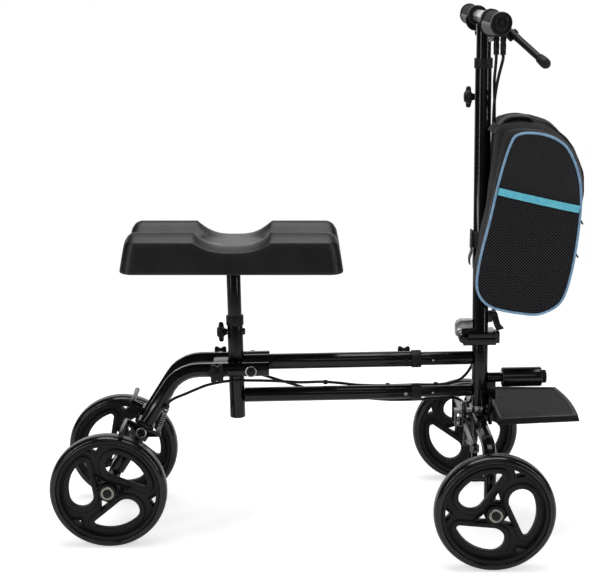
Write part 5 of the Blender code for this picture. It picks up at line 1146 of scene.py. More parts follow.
def block(name, centre, size, material, width=0.0008, turn=None):
    """A box with rounded edges, at a world place."""
    bpy.ops.mesh.primitive_cube_add(size=1, location=centre)
    box = named(bpy.context.object, name)
    box.scale = size
    if turn is not None:
        box.rotation_euler = turn
    settle(box)
    return painted(softened(box, width, 3), material)


slider_at = zip_path[6]
SLIDER_SIZE = (0.006, 0.009, 0.013)
slider = block("bag_zip_slider", slider_at + Vector((0.001, 0, 0)), SLIDER_SIZE, silver, 0.0015)
fixed_to(slider, "column", "zinc")
PULL_STEPS = ((0.0045, 0, 0.0), (0.0065, 0.001, -0.012), (0.0050, 0.002, -0.026))
pull_path = [slider_at + Vector(step) for step in PULL_STEPS]
ribbon("bag_zip_pull", pull_path, (0, 1, 0.1), 0.006, 0.0012)
handle_path = strap_path(
    (0.0125, -0.050, 0.6030), (0.0159, -0.050, 0.6110), (0.0306, -0.050, 0.6262),
    (0.0500, -0.050, 0.6296), (0.0704, -0.050, 0.6262), (0.0760, -0.050, 0.6120),
    (0.0745, -0.050, 0.5990),
)
ribbon("bag_handle", handle_path, (0, 1, 0.05), 0.024, 0.0024)
hook_path = strap_path(
    (0.0075, -0.040, 0.6130), (0.0130, -0.052, 0.6100), (0.0200, -0.062, 0.6020),
    (0.0290, -0.076, 0.5890), (0.0330, -0.086, 0.5800),
)
ribbon("bag_side_strap", hook_path, (0.5, -0.3, 0.8), 0.017, 0.0020)

# %% [markdown]
# A strap holds the bag's foot to the column, and its loose tail hangs below a flat buckle. Its path
# goes round the column in ten-degree steps and meets the bag with two straight ends. Two webbing
# tabs stick out of the front seam.

# %% The strap round the column, with its tail and buckle
STRAP_W = 0.4150
STRAP_REACH = 0.0150
STRAP_FRONT = 0.0290
ends = [(STRAP_FRONT, 0.0155), (STRAP_FRONT * 0.6, 0.0154)]
round_column = [spot(u, -y, STRAP_W) for u, y in ends]
for angle in range(-150, 151, 10):
    turn = radians(angle) + pi
    round_column.append(spot(STRAP_REACH * cos(turn), STRAP_REACH * sin(turn), STRAP_W))
round_column += [spot(u, y, STRAP_W) for u, y in reversed(ends)]
ribbon("bag_low_strap", round_column, UPWARD, 0.0290, 0.0018)
TAIL_STOPS = (
    (-0.0165, -0.0040, 0.4010), (-0.0178, -0.0045, 0.3930), (-0.0210, -0.0050, 0.3830),
    (-0.0206, -0.0050, 0.3726),
)
hanging = through([spot(*stop) for stop in TAIL_STOPS], 6)
ribbon("bag_strap_tail", hanging, (0, 1, 0), 0.0200, 0.0018)
BUCKLE_SIZE = (0.0030, 0.0220, 0.0325)
buckle = block("bag_strap_buckle", spot(-0.0172, -0.0010, STRAP_W), BUCKLE_SIZE, webbing, 0.0010)
fixed_to(buckle, "column", "black_plastic")
TAB_SIZE = (0.0100, 0.0200, 0.0024)
for k, (u, w) in enumerate(((0.1625, 0.4484), (0.1560, 0.3915))):
    slant = (0, radians(60), 0)
    tab = block(f"bag_tab_{k + 1}", spot(u, -0.030, w), TAB_SIZE, webbing, 0.0008, slant)
    fixed_to(tab, "column", "bag_fabric")

# %% [markdown]
# ## Handlebar and brake lever
#
# Each rubber grip is round above and has a palm rest below, which is deeper near the column. Its
# rings are circles with that lobe added. A raised ring closes its inner end, and a hard drop-shaped
# cap with a raised rim closes its outer end. The grip's upper half is dark and the palm rest is
# lighter, so a second shell in palm rubber covers the lower part.

# %% Grips
HANDLE_W = 0.7870
GRIP_INNER_Y = 0.0895
GRIP_OUTER_Y = 0.2000
GRIP_RADIUS = 0.0146
LOBE_TURN = radians(100)
LOBE_INNER, LOBE_OUTER = 0.0095, 0.0035


def grip_ring(y, radius, lobe, steps=40):
    """A round ring with a palm lobe that points down and a little forward."""
    ring = []
    for i in range(steps):
        angle = tau * i / steps
        reach = radius + lobe * max(cos(angle + LOBE_TURN), 0) ** 1.5
        ring.append(spot(reach * cos(angle), y, HANDLE_W + reach * sin(angle)))
    return ring


def grip_middle(y):
    return [spot(0, y, HANDLE_W)] * 40


def lobe_at(y):
    """The palm lobe's depth, which shrinks towards the grip's outer end."""
    share = (y - GRIP_INNER_Y) / (GRIP_OUTER_Y - GRIP_INNER_Y)
    return LOBE_INNER + (LOBE_OUTER - LOBE_INNER) * share


GRIP_STEP = 0.0052
SLEEVE = [
    (0.0895, -0.0040), (0.0895, 0.0010), (0.0900, 0.0018), (0.0925, 0.0018), (0.0932, 0.0012),
    (0.0938, 0.0), *((0.0950 + GRIP_STEP * k, 0.0) for k in range(19)),
]
CAP = (
    (0.1872, -0.0010), (0.1872, 0.0008), (0.1880, 0.0013), (0.1950, 0.0016), (0.1972, 0.0013),
    (0.1986, 0.0004), (0.1990, -0.0010), (0.1984, -0.0024), (0.1982, -0.0046), (0.1996, -0.0060),
    (0.2000, -0.0085),
)
GRIP_MARK = ((0.0030, 0.1990), (0.0030, 0.2004), (0.0022, 0.2010))
parts = []
for name, steps, material in (("sleeve", SLEEVE, sleeve_rubber), ("cap", CAP, smooth_plastic)):
    rows = [grip_middle(steps[0][0])]
    rows += [grip_ring(y, GRIP_RADIUS + more, lobe_at(y) * (1 + more / GRIP_RADIUS)) for y, more in steps]
    rows.append(grip_middle(steps[-1][0]))
    parts.append(painted(lofted("grip_" + name, rows), material))
mark = moved(stacked("grip_mark", GRIP_MARK, 24), TIPPED @ Matrix.Translation((0, 0, HANDLE_W)))
parts.append(painted(mark, plastic))
PALM_START, PALM_SWEEP, PALM_STEPS = radians(-176), radians(118), 40
PALM_LIFT, PALM_SINK = 0.0005, 0.0004
palm = []
for k in range(18):
    y = 0.0960 + k * GRIP_STEP
    ring = []
    for i in range(PALM_STEPS + 1):
        angle = PALM_START + PALM_SWEEP * i / PALM_STEPS
        reach = GRIP_RADIUS + lobe_at(y) * max(cos(angle + LOBE_TURN), 0) ** 1.5
        reach += PALM_LIFT * min(1, min(i, PALM_STEPS - i) / 3) - PALM_SINK
        ring.append(spot(reach * cos(angle), y, HANDLE_W + reach * sin(angle)))
    palm.append(ring)
rest = lofted("grip_palm", palm, closed=False)
use(rest, "SOLIDIFY", thickness=0.0010, offset=0)
parts.append(painted(smoothed(cleaned(rest), 50), palm_rubber))
mirror = TIPPED @ Matrix.Scale(-1, 4, (0, 1, 0)) @ TIPPED.inverted()
for side in ("left", "right"):
    for part in parts:
        piece = named(copied(part, mirror if side == "right" else None), f"{part.name}_{side}")
        fixed_to(piece, "handle", "black_rubber")
        if part.name == "grip_sleeve":
            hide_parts("grip_" + side)
for part in parts:
    bpy.data.objects.remove(part)

# %% [markdown]
# Small fittings complete the handlebar: a silver screw and a ring under each clamp's boss, and two
# stepped cable adjusters. They are turned shapes, so one helper stands a turned shape up at a place,
# along any direction.


# %% Turned trim at any place
def turned_at(name, profile, at, direction, material, body, slot, sides=24):
    """A turned piece from (radius, height) steps, standing at a world point along a direction."""
    piece = stacked(name, profile, sides)
    turn = Vector((0, 1, 0)).rotation_difference(Vector(direction)).to_matrix().to_4x4()
    moved(piece, Matrix.Translation(at) @ turn)
    return fixed_to(painted(piece, material), body, slot)


def socket_screw(name, at, direction, radius, body, height=0.0022, material=None):
    """A round screw head with a dark hollow in it."""
    profile = [(radius, -0.001), (radius, height * 0.8), (radius * 0.85, height), (radius * 0.5, height)]
    profile += [(radius * 0.48, height * 0.4)]
    return turned_at(name, profile, at, direction, material or silver, body, "zinc")


CLAMP_Y = 0.0820
DOWN = -UPWARD
NEAR = Vector((0, -1, 0))
SIDES = (("right", -1), ("left", 1))
CLAMP_RING = ((0.0050, 0), (0.0053, 0.0004), (0.0053, 0.0018), (0.0050, 0.0022))
for name, side in SIDES:
    screw_at = spot(0, side * CLAMP_Y, HANDLE_W - 0.0315)
    socket_screw(f"clamp_screw_{name}", screw_at, DOWN, 0.0038, "handle", 0.0030)
    ring_at = spot(0, side * CLAMP_Y, HANDLE_W - 0.0245)
    turned_at(f"clamp_ring_{name}", CLAMP_RING, ring_at, DOWN, silver, "handle", "zinc")
low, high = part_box("brake_lever_clamp")
screw_at = spot(-0.0010, low.y + 0.0006, HANDLE_W - 0.0270)
socket_screw("lever_clamp_screw", screw_at, NEAR, 0.0046, "handle", 0.0034)
ADJUSTER = (
    (0.0046, 0), (0.0050, 0.0006), (0.0050, 0.0052), (0.0044, 0.0058), (0.0044, 0.0090),
    (0.0048, 0.0096), (0.0048, 0.0190), (0.0040, 0.0200), (0.0046, 0.0208), (0.0046, 0.0262),
    (0.0036, 0.0275),
)
for k, (u, y) in enumerate(((0.0195, -0.0840), (0.0095, -0.0780))):
    top = spot(u, y, HANDLE_W - 0.0290)
    turned_at(f"cable_adjuster_{k + 1}", ADJUSTER, top, DOWN, sheath, "handle", "black_plastic")


# %% [markdown]
# The lever is a long blade, oval in section, that swells round its pivot, stays even along the
# fingers and ends in a thicker rubber tip. A ring parts blade and tip, and a nut sits on the pivot.
# The rings of these lofts stand across the line from the pivot to the tip.

# %% Brake lever
LEVER_SLOPE = radians(47) - FRAME_PITCH
LEVER_FLARE = radians(35.4)
LEVER_STRETCH = 1.07
LEVER_FULLNESS = 1.15
LEVER_PIVOT = Vector((0.30806, -0.08195, 0.86368))
lever_up = Vector((sin(LEVER_SLOPE), 0, cos(LEVER_SLOPE)))
lever_out = Vector((cos(LEVER_SLOPE), 0, -sin(LEVER_SLOPE)))
lever_run = lever_out * sin(LEVER_FLARE) + NEAR * cos(LEVER_FLARE)
lever_side = lever_up.cross(lever_run)


def lever_part(name, steps, material):
    """One part of the lever, from the (distance, half height, half width) of its rings."""
    rings = []
    for along, half_height, half_width in steps:
        ring = []
        for i in range(28):
            angle = tau * i / 28
            across = lever_side * (half_width * cos(angle)) + lever_up * (half_height * sin(angle))
            ring.append(LEVER_PIVOT + lever_run * (along * LEVER_STRETCH) + across * LEVER_FULLNESS)
        rings.append(ring)
    return painted(lofted(name, rings), material)


BLADE = (
    (-0.0080, 0.0, 0.0), (-0.0078, 0.0030, 0.0040), (-0.0060, 0.0050, 0.0068),
    (-0.0020, 0.0054, 0.0080), (0.0040, 0.0054, 0.0078), (0.0120, 0.0052, 0.0068),
    (0.0240, 0.0050, 0.0062), (0.0400, 0.0050, 0.0060), (0.0560, 0.0050, 0.0058),
    (0.0700, 0.0049, 0.0056), (0.0760, 0.0048, 0.0054), (0.0765, 0.0, 0.0),
)
TIP = (
    (0.0740, 0.0, 0.0), (0.0740, 0.0056, 0.0062), (0.0746, 0.0060, 0.0066),
    (0.0766, 0.0060, 0.0066), (0.0772, 0.0056, 0.0062), (0.0778, 0.0064, 0.0070),
    (0.0800, 0.0068, 0.0074), (0.0870, 0.0072, 0.0078), (0.0925, 0.0068, 0.0074),
    (0.0955, 0.0052, 0.0058), (0.0968, 0.0028, 0.0032), (0.0972, 0.0, 0.0),
)
TIP_RING = (
    (0.0750, 0.0, 0.0006), (0.0750, 0.0061, 0.0067), (0.0754, 0.0064, 0.0070),
    (0.0758, 0.0061, 0.0067), (0.0758, 0.0, 0.0006),
)
LEVER_NUT = ((0.0048, 0), (0.0048, 0.0026), (0.0036, 0.0032))
blade = lever_part("brake_lever_blade", BLADE, plastic)
fixed_to(blade, "brake_lever", "black_plastic", "brake_lever")
fixed_to(lever_part("brake_lever_tip", TIP, grip_rubber), "brake_lever", "black_rubber")
fixed_to(lever_part("brake_lever_ring", TIP_RING, sheath), "brake_lever", "black_rubber")
nut_at = LEVER_PIVOT + lever_up * 0.0052
turned_at("lever_nut", LEVER_NUT, nut_at, lever_up, dark_steel, "brake_lever", "zinc", 6)

# %% [markdown]
# ## Knobs and the padded roller
#
# The five star knobs are the same moulding: a six-lobed disc on a short boss. The disc is drawn as
# rings whose radius waves round, with round edges and a nearly flat face, and the middle holds a
# small raised cap. The outline of a real knob's lobes is a wave like this one.

# %% One star knob, copied five times
LOBE_DEPTH = 0.0026


def star_ring(radius, height, depth):
    ring = []
    for i in range(72):
        angle = tau * i / 72
        reach = radius - depth * (1 - cos(6 * angle))
        ring.append((reach * cos(angle), reach * sin(angle), height))
    return ring


KNOB_STEPS = (
    (0.0, 0.0, 0.0), (0.0050, 0.0, 0.0), (0.0062, 0.0040, 0.0), (0.0088, 0.0058, 0.0),
    (0.0150, 0.0064, 0.8), (0.0168, 0.0072, 1.0), (0.0178, 0.0088, 1.0), (0.0178, 0.0122, 1.0),
    (0.0170, 0.0138, 1.0), (0.0150, 0.0146, 0.9), (0.0120, 0.0148, 0.6), (0.0092, 0.0150, 0.2),
    (0.0086, 0.0168, 0.0), (0.0074, 0.0177, 0.0), (0.0068, 0.0172, 0.0), (0.0040, 0.0180, 0.0),
    (0.0, 0.0182, 0.0),
)
star = lofted("star_knob", [star_ring(r, h, LOBE_DEPTH * share) for r, h, share in KNOB_STEPS])
painted(smoothed(star, 45), smooth_plastic)
KNOB_STEM = ((0.0036, -0.0015), (0.0036, 0.0060))
KNOBS = (
    ("column_knob", -FORWARD, 0.0092), ("seat_knob", -FORWARD, 0.0092), ("beam_knob", -NEAR, 0.0090),
    ("leg_knob_right", NEAR, 0.0090), ("leg_knob_left", -NEAR, 0.0090),
)
for node, out, depth in KNOBS:
    low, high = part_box(node)
    seat = (low + high) / 2 - out * depth
    turn = Vector((0, 0, 1)).rotation_difference(out).to_matrix().to_4x4()
    knob = named(copied(star, Matrix.Translation(seat) @ turn), node + "_star")
    fixed_to(knob, body_of_node[node], "black_plastic", node)
    turned_at(node + "_stem", KNOB_STEM, seat, out, silver, body_of_node[node], "zinc")
bpy.data.objects.remove(star)

# %% [markdown]
# In front of the head tube a padded roller lies on a spindle. Its sleeve is plain with round ends,
# and its end knob has fine grips round it. Both are lofts along the spindle.

# %% Padded roller with its ribbed end knob
ROLLER_W = 0.1670


def around_spindle(u, radius, ribs=0, depth=0.0):
    ring = []
    for i in range(96):
        angle = tau * i / 96
        reach = radius - depth * (0.5 - 0.5 * cos(ribs * angle))
        ring.append(spot(u, reach * cos(angle), ROLLER_W + reach * sin(angle)))
    return ring


SLEEVE_STEPS = (
    (0.0385, 0.0072), (0.0385, 0.0150), (0.0388, 0.0160), (0.0397, 0.0168), (0.0410, 0.0170),
    (0.0560, 0.0170), (0.0740, 0.0170), (0.0900, 0.0170), (0.1055, 0.0170), (0.1067, 0.0167),
    (0.1074, 0.0158), (0.1075, 0.0110), (0.1075, 0.0),
)
roller = lofted("front_grip_sleeve", [around_spindle(u, r) for u, r in SLEEVE_STEPS])
fixed_to(painted(roller, tyre_rubber), "front_frame", "black_rubber", "front_grip")
END_STEPS = (
    (0.1070, 0.0, 0), (0.1070, 0.0104, 0), (0.1082, 0.0106, 0), (0.1090, 0.0117, 1),
    (0.1146, 0.0117, 1), (0.1156, 0.0110, 1), (0.1160, 0.0096, 0), (0.1160, 0.0, 0),
)
END_RIBS = 12
RIB_DEPTH = 0.0020
rows = [around_spindle(u, r, END_RIBS, RIB_DEPTH * ribbed) for u, r, ribbed in END_STEPS]
fixed_to(painted(smoothed(lofted("front_grip_end", rows), 30), plastic), "front_frame", "black_plastic")

# %% [markdown]
# ## Footplate
#
# The footplate is a moulded tray with a bowed front edge. Its top has a smooth border and an inset
# field with fine anti-slip studs. The step down to the field is real geometry, and the studs are
# bump plus painted light: their tops are painted lighter and the gaps between them darker.

# %% Footplate with its inset field
PLATE_REAR, PLATE_FRONT, PLATE_TOP = 0.0190, 0.1615, 0.1210
PLATE_THICKNESS = 0.0100
REAR_HALF, FRONT_HALF, BOW, SKEW = 0.0930, 0.0820, 0.0065, 0.0045
FIELD_INSET = 0.0096
FIELD_TOP = PLATE_TOP - 0.0012
FIELD_MIDDLE_U = 0.085


def plate_ring(inset, w):
    """The plate's outline, moved in by a distance."""
    half = FRONT_HALF - inset
    front = PLATE_FRONT - BOW - inset
    bow = []
    for i in range(21):
        aside = 2 * i / 20 - 1
        bow.append((front + BOW * (1 - aside ** 2) - SKEW * aside, half * aside))
    rear = PLATE_REAR + inset
    outline = [(rear, -(REAR_HALF - inset)), *bow, (rear, REAR_HALF - inset)]
    ring = []
    for i, (u, y) in enumerate(outline):
        after = outline[(i + 1) % len(outline)]
        count = 8 if i in (0, len(outline) - 2, len(outline) - 1) else 1
        for k in range(count):
            share = k / count
            ring.append(spot(u + (after[0] - u) * share, y + (after[1] - y) * share, w))
    return ring


under = PLATE_TOP - PLATE_THICKNESS
PLATE_STEPS = (
    (0.0010, under), (0.0, under + 0.0010), (0.0, under + 0.0034), (0.0014, under + 0.0040),
    (0.0014, PLATE_TOP - 0.0014), (0.0020, PLATE_TOP - 0.0004), (0.0030, PLATE_TOP),
    (0.0078, PLATE_TOP), (0.0084, PLATE_TOP - 0.0003), (0.0088, PLATE_TOP - 0.0011),
    (FIELD_INSET, FIELD_TOP),
)
field_edge = plate_ring(FIELD_INSET, FIELD_TOP)
middle_low = [spot(FIELD_MIDDLE_U, 0, under)] * len(field_edge)
middle_top = [spot(FIELD_MIDDLE_U, 0, FIELD_TOP)] * len(field_edge)
field = [[point.lerp(middle_top[0], share) for point in field_edge] for share in (0.3, 0.6)]
rows = [middle_low] + [plate_ring(inset, w) for inset, w in PLATE_STEPS] + field + [middle_top]
plate = lofted("footplate_tray", rows)


def tread_material():
    """Matt black moulding with rows of small raised studs, on the inset field only; stud tops are painted
    lighter and the gaps darker, as painted light.
    """
    finish = Finish("footplate_tread")
    along, aside, _ = finish.split(finish.place())
    turns = tau / 0.0070
    studs = ((along + aside) * turns).wave() * ((along - aside) * turns).wave()
    studs = finish.spread(studs, 0.0, 0.6)
    speckle = finish.noise(60, 4)
    return finish.paint(
        # Painted light: the stud tops are painted lighter and the gaps between them darker.
        base_color=finish.mix(studs * 0.8 + speckle * 0.2, (0.0005, 0.0005, 0.0006), (0.060, 0.060, 0.061)),
        roughness=0.46 + speckle * 0.16,
        specular_ior_level=0.14,
        normal=finish.bump(studs, 0.0008, 0.8),
    )


painted(smoothed(plate, 40), plastic)
plate.data.materials.append(tread_material())
for polygon in plate.data.polygons:
    flat = polygon.normal.dot(UPWARD) > 0.99
    deep = TIPPED.inverted() @ polygon.center
    polygon.material_index = int(flat and deep.z < PLATE_TOP - 0.0006)
fixed_to(plate, "front_frame", "black_plastic", "footplate")
print("handlebar, knobs, roller and footplate are dressed")

# %% [markdown]
# ## Brake cables
#
# Two black cables run from the brake lever to the rear legs: down the front of the column, past the
# fold joint, through the steering head and back along the lower beam. Each crosses five joints, and
# each cable is cut into five pieces; two neighbours meet where the cable lies wholly on the body that
# they share. The routes were chosen on the solid model, and the length of each piece is measured
# along its path.

# %% Routes in the beams' axes
RIGHT_ROUTE = (
    (0.0195, -0.0840, 0.7307), (0.0195, -0.0836, 0.7237), (0.0178, -0.0620, 0.7020),
    (0.0175, -0.0440, 0.6870), (0.0170, -0.0290, 0.6700), (0.0162, -0.0180, 0.6480),
    (0.0158, -0.0125, 0.6200), (0.0158, -0.0105, 0.5850), (0.0158, -0.0100, 0.5200),
    (0.0158, -0.0100, 0.4500), (0.0165, -0.0080, 0.4000), (0.0178, -0.0010, 0.3600),
    (0.0172, 0.0080, 0.3300), (0.0120, 0.0185, 0.3020), (0.0040, 0.0245, 0.2700),
    (0.0005, 0.0262, 0.2400), (-0.0010, 0.0255, 0.2180), (-0.0060, 0.0245, 0.1950),
    (-0.0150, 0.0225, 0.1750), (-0.0290, 0.0205, 0.1600), (-0.0480, 0.0185, 0.1525),
    (-0.0750, 0.0175, 0.1500), (-0.1100, 0.0190, 0.1500), (-0.1600, 0.0175, 0.1500),
    (-0.2100, 0.0170, 0.1520), (-0.2450, 0.0135, 0.1575), (-0.2766, 0.0020, 0.1640),
    (-0.3148, -0.0140, 0.1690), (-0.3666, -0.0250, 0.1762), (-0.4218, -0.0320, 0.1800),
    (-0.4494, -0.0350, 0.1790), (-0.4750, -0.0375, 0.1745), (-0.4962, -0.0400, 0.1672),
    (-0.5150, -0.0425, 0.1600), (-0.5310, -0.0455, 0.1545),
)
LEFT_ROUTE = (
    (0.0095, -0.0780, 0.7307), (0.0095, -0.0776, 0.7237), (0.0105, -0.0640, 0.7080),
    (0.0120, -0.0470, 0.6950), (0.0138, -0.0310, 0.6820), (0.0160, -0.0180, 0.6660),
    (0.0178, -0.0095, 0.6450), (0.0187, -0.0040, 0.6150), (0.0187, -0.0025, 0.5800),
    (0.0187, -0.0020, 0.5200), (0.0187, -0.0020, 0.4500), (0.0186, 0.0005, 0.4000),
    (0.0175, 0.0085, 0.3600), (0.0140, 0.0165, 0.3300), (0.0035, 0.0250, 0.3020),
    (-0.0045, 0.0262, 0.2700), (-0.0065, 0.0262, 0.2400), (-0.0070, 0.0235, 0.2180),
    (-0.0060, 0.0185, 0.1950), (-0.0050, 0.0174, 0.1700), (-0.0070, 0.0174, 0.1450),
    (-0.0100, 0.0185, 0.1250), (-0.0155, 0.0200, 0.1145), (-0.0240, 0.0210, 0.1150),
    (-0.0340, 0.0205, 0.1210), (-0.0500, 0.0190, 0.1250), (-0.1000, 0.0155, 0.1240),
    (-0.1550, 0.0155, 0.1240), (-0.2100, 0.0175, 0.1290), (-0.2700, 0.0200, 0.1370),
    (-0.3300, 0.0225, 0.1550), (-0.3900, 0.0255, 0.1740), (-0.4256, 0.0280, 0.1800),
    (-0.4600, 0.0330, 0.1800), (-0.4962, 0.0395, 0.1730), (-0.5150, 0.0425, 0.1645),
    (-0.5310, 0.0455, 0.1560),
)
CABLE_RADIUS = 0.0025

# %% [markdown]
# Each cable ends in a stop on its rear leg, which stands over the brake's return spring and leans
# as the spring does. The last two points of a route lie on the spring's line.

# %% The line of the springs and stops
SPRING_FOOT = Vector((-0.27598, 0.0471, 0.18407))
SPRING_LEAN = radians(22) - FRAME_PITCH
SPRING_DIRECTION = Vector((sin(SPRING_LEAN), 0, cos(SPRING_LEAN)))
SPRING_LENGTH = 0.0375
STOP_TOP = 0.0498
STOP_LEAD = 0.0070


def on_spring(side, rise):
    """A point on the line of one side's spring, above its foot."""
    foot = Vector((SPRING_FOOT.x, SPRING_FOOT.y * side, SPRING_FOOT.z))
    return foot + SPRING_DIRECTION * rise


# %% [markdown]
# Each stage also lists two points of the route: the first where the cable leaves the one body and
# the second where it has reached the other.


# %% Five pieces for each cable
def cable_length(points):
    return sum((b - a).length for a, b in zip(points, points[1:]))


def add_cable(side, route, stages):
    """Lay one cable. A stage names two bodies, the ends of its blend and its first route point."""
    total = 0.0
    sign = -1 if side == "right" else 1
    stops = [spot(*point) for point in route]
    stops += [on_spring(sign, STOP_TOP + STOP_LEAD), on_spring(sign, STOP_TOP)]
    inner = through(stops, 8)
    for n, (upper, lower, blend_from, blend_to, first) in enumerate(stages, 1):
        last = stages[n][4] if n < len(stages) else len(stops) - 1
        points = inner[first * 8:last * 8 + 1]
        length = cable_length(points)
        total += length
        name = f"brake_cable_{side}_{n}"
        piece = painted(wire(name, points, CABLE_RADIUS, sides=12), sheath)
        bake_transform(piece)
        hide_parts("brake_cable_" + side)
    print(f"{side} brake cable: {total:.3f} m")


UPPER_STAGES = (("handle", "column", 2, 7, 0), ("column", "steering", 12, 15, 9))
RIGHT_STAGES = UPPER_STAGES + (
    ("steering", "front_frame", 16, 19, 15), ("front_frame", "rear_frame", 21, 24, 20),
    ("rear_frame", "rear_legs", 27, 31, 25),
)
LEFT_STAGES = UPPER_STAGES + (
    ("steering", "front_frame", 16, 20, 15), ("front_frame", "rear_frame", 25, 28, 22),
    ("rear_frame", "rear_legs", 30, 33, 29),
)
add_cable("right", RIGHT_ROUTE, RIGHT_STAGES)
add_cable("left", LEFT_ROUTE, LEFT_STAGES)

# %% [markdown]
# ## Springs and small fittings
#
# Each brake arm has a return spring of bright wire between its ledge and the cable's stop. It is a
# wire laid along a helix, with its end turns closed up as on a real compression spring. It rides on
# the rear legs as one rigid piece.

# %% Brake return springs
COILS = 10
COIL_STEPS = COILS * 16
COIL_RADIUS = 0.0036
WIRE_RADIUS = 0.0007
COIL_GAP = 0.0006
END_CLOSING = 0.028


def spring_path(side):
    """A helix that rises slowly at its two ends."""
    forward = Vector((SPRING_DIRECTION.z, 0, -SPRING_DIRECTION.x))
    points = []
    for i in range(COIL_STEPS + 1):
        share = i / COIL_STEPS
        turn = tau * COILS * share
        rise = (share - END_CLOSING * sin(tau * share)) * (SPRING_LENGTH - 2 * COIL_GAP)
        around = forward * cos(turn) - NEAR * sin(turn)
        points.append(on_spring(side, COIL_GAP + rise) + around * COIL_RADIUS)
    return points


for name, side in SIDES:
    coil = wire(f"brake_spring_coil_{name}", spring_path(side), WIRE_RADIUS)
    fixed_to(painted(coil, spring_steel), "rear_legs", "zinc", f"brake_spring_{name}")
    top = on_spring(side, SPRING_LENGTH)
    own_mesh(coil)

# %% [markdown]
# The pivot bolts and brake pins have domed caps with a silver ring round each foot, a painted
# highlight for the light that the dome's edge catches. Above each spring stands the stop's barrel
# with its nut, which the cable runs into. All are turned shapes on the rear legs or on the body of
# the pivot bolt.

# %% Domed caps and cable stops
DOME = (
    (0.0088, 0.0), (0.0088, 0.0012), (0.0080, 0.0024), (0.0062, 0.0036), (0.0036, 0.0044),
    (0.0012, 0.0047),
)
DOME_HIGHLIGHT_RING = ((0.0086, 0.0006), (0.0096, 0.0008), (0.0098, 0.0018), (0.0090, 0.0024))
BOLT_SINK = 0.0040
PIN_SINK = 0.0034
PIN_SCALE = 0.92
PIN_X, PIN_Z = -0.30398, 0.18409
BARREL = (
    (0.0040, 0), (0.0044, 0.0006), (0.0044, 0.0042), (0.0036, 0.0048), (0.0036, 0.0098),
    (0.0042, 0.0104), (0.0042, 0.0122), (0.0030, 0.0128),
)
STOP_NUT = ((0.0056, 0), (0.0056, 0.0022))


def dome_cap(name, at, direction, scale, body):
    dome = [(radius * scale, height * scale) for radius, height in DOME]
    turned_at(name + "_cap", dome, at, direction, smooth_plastic, body, "black_plastic", 32)
    # The silver ring round the dome's foot is a painted highlight for the light on the dome's edge.
    highlight_ring = [(radius * scale, height) for radius, height in DOME_HIGHLIGHT_RING]
    turned_at(name + "_ring", highlight_ring, at, direction, silver, body, "zinc", 32)


for name, side in SIDES:
    out = Vector((0, side, 0))
    bolt_low, bolt_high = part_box("leg_pivot_bolt")
    middle = (bolt_low + bolt_high) / 2
    low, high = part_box(f"rear_leg_{name}")
    bolt_y, leg_y = (bolt_low.y, low.y) if side < 0 else (bolt_high.y, high.y)
    bolt_end = Vector((middle.x, bolt_y, middle.z)) - out * BOLT_SINK
    dome_cap(f"leg_pivot_{name}", bolt_end, out, 1.0, body_of_node["leg_pivot_bolt"])
    pin_end = Vector((PIN_X, leg_y, PIN_Z)) - out * PIN_SINK
    dome_cap(f"brake_pin_{name}", pin_end, out, PIN_SCALE, "rear_legs")
    foot, nut_at = on_spring(side, SPRING_LENGTH + 0.0002), on_spring(side, SPRING_LENGTH + 0.0046)
    lean = SPRING_DIRECTION
    turned_at(f"cable_stop_barrel_{name}", BARREL, foot, lean, dark_steel, "rear_legs", "zinc")
    turned_at(f"cable_stop_nut_{name}", STOP_NUT, nut_at, lean, silver, "rear_legs", "zinc", 6)

# %% [markdown]
# The beams have a button, a screw and a raised rib on their sleeves' collars. Each sliding bar has a
# small rivet on its near side, which sits in a hole that a cylinder drills first.

# %% Buttons, rivets and ribs of the beams
BUTTON = ((0.0030, -0.001), (0.0030, 0.0008), (0.0024, 0.0018), (0.0010, 0.0022))
BUTTON_RING = ((0.0042, -0.001), (0.0042, 0.0004), (0.0034, 0.0006))
RIVET = ((0.0021, -0.0010), (0.0021, 0.0), (0.0015, 0.0003), (0.0005, 0.0004))
RIVET_U = -0.0823
RIVET_SINK = 0.0006
DRILL = {"vertices": 24, "radius": 0.0023, "depth": 0.0060, "rotation": (pi / 2, 0, 0)}
UPPER_W, LOWER_W = 0.2037, 0.1437
BARS = (("upper", UPPER_W, 0.0118), ("lower", LOWER_W, 0.0099))
COLLARS = (("203", UPPER_W, -0.1102, 0.0153), ("143", LOWER_W, -0.1117, 0.0145))
button_at = spot(-0.1300, -0.0136, UPPER_W)
for name, profile, material in (("", BUTTON, smooth_plastic), ("_ring", BUTTON_RING, plastic)):
    name = "upper_beam_button" + name
    turned_at(name, profile, button_at, NEAR, material, "rear_frame", "black_plastic")
socket_screw("lower_beam_screw", spot(-0.1300, -0.0128, 0.1440), NEAR, 0.0030, "rear_frame", 0.0018)
for name, w, radius in BARS:
    bpy.ops.mesh.primitive_cylinder_add(location=spot(RIVET_U, -radius, w), **DRILL)
    drill = settle(bpy.context.object)
    bar = bpy.data.objects[name + "_beam_bar_finished"]
    use(bar, "BOOLEAN", object=drill, operation="DIFFERENCE")
    bpy.data.objects.remove(drill)
    rivet_at = spot(RIVET_U, -radius + RIVET_SINK, w)
    turned_at(name + "_bar_rivet", RIVET, rivet_at, NEAR, silver, "front_frame", "zinc")
for name, w, u, radius in COLLARS:
    rib = [(radius, 0), (radius + 0.0004, 0.0004), (radius + 0.0004, 0.0012), (radius, 0.0016)]
    name = "beam_collar_rib_" + name
    turned_at(name, rib, spot(u, 0, w), FORWARD, plastic, "rear_frame", "black_plastic", 40)
nut_at = spot(-0.4121, 0, 0.2591)
socket_screw("seat_nut", nut_at, FORWARD, 0.0058, "rear_frame", 0.0040, dark_steel)

# %% [markdown]
# The head tube carries a short arm for the roller and a bracket that holds the footplate from below.
# The solid for them is plain, so slimmer parts stand in for it: a turned arm with a weld collar,
# a narrow web and a folded shelf under the plate.

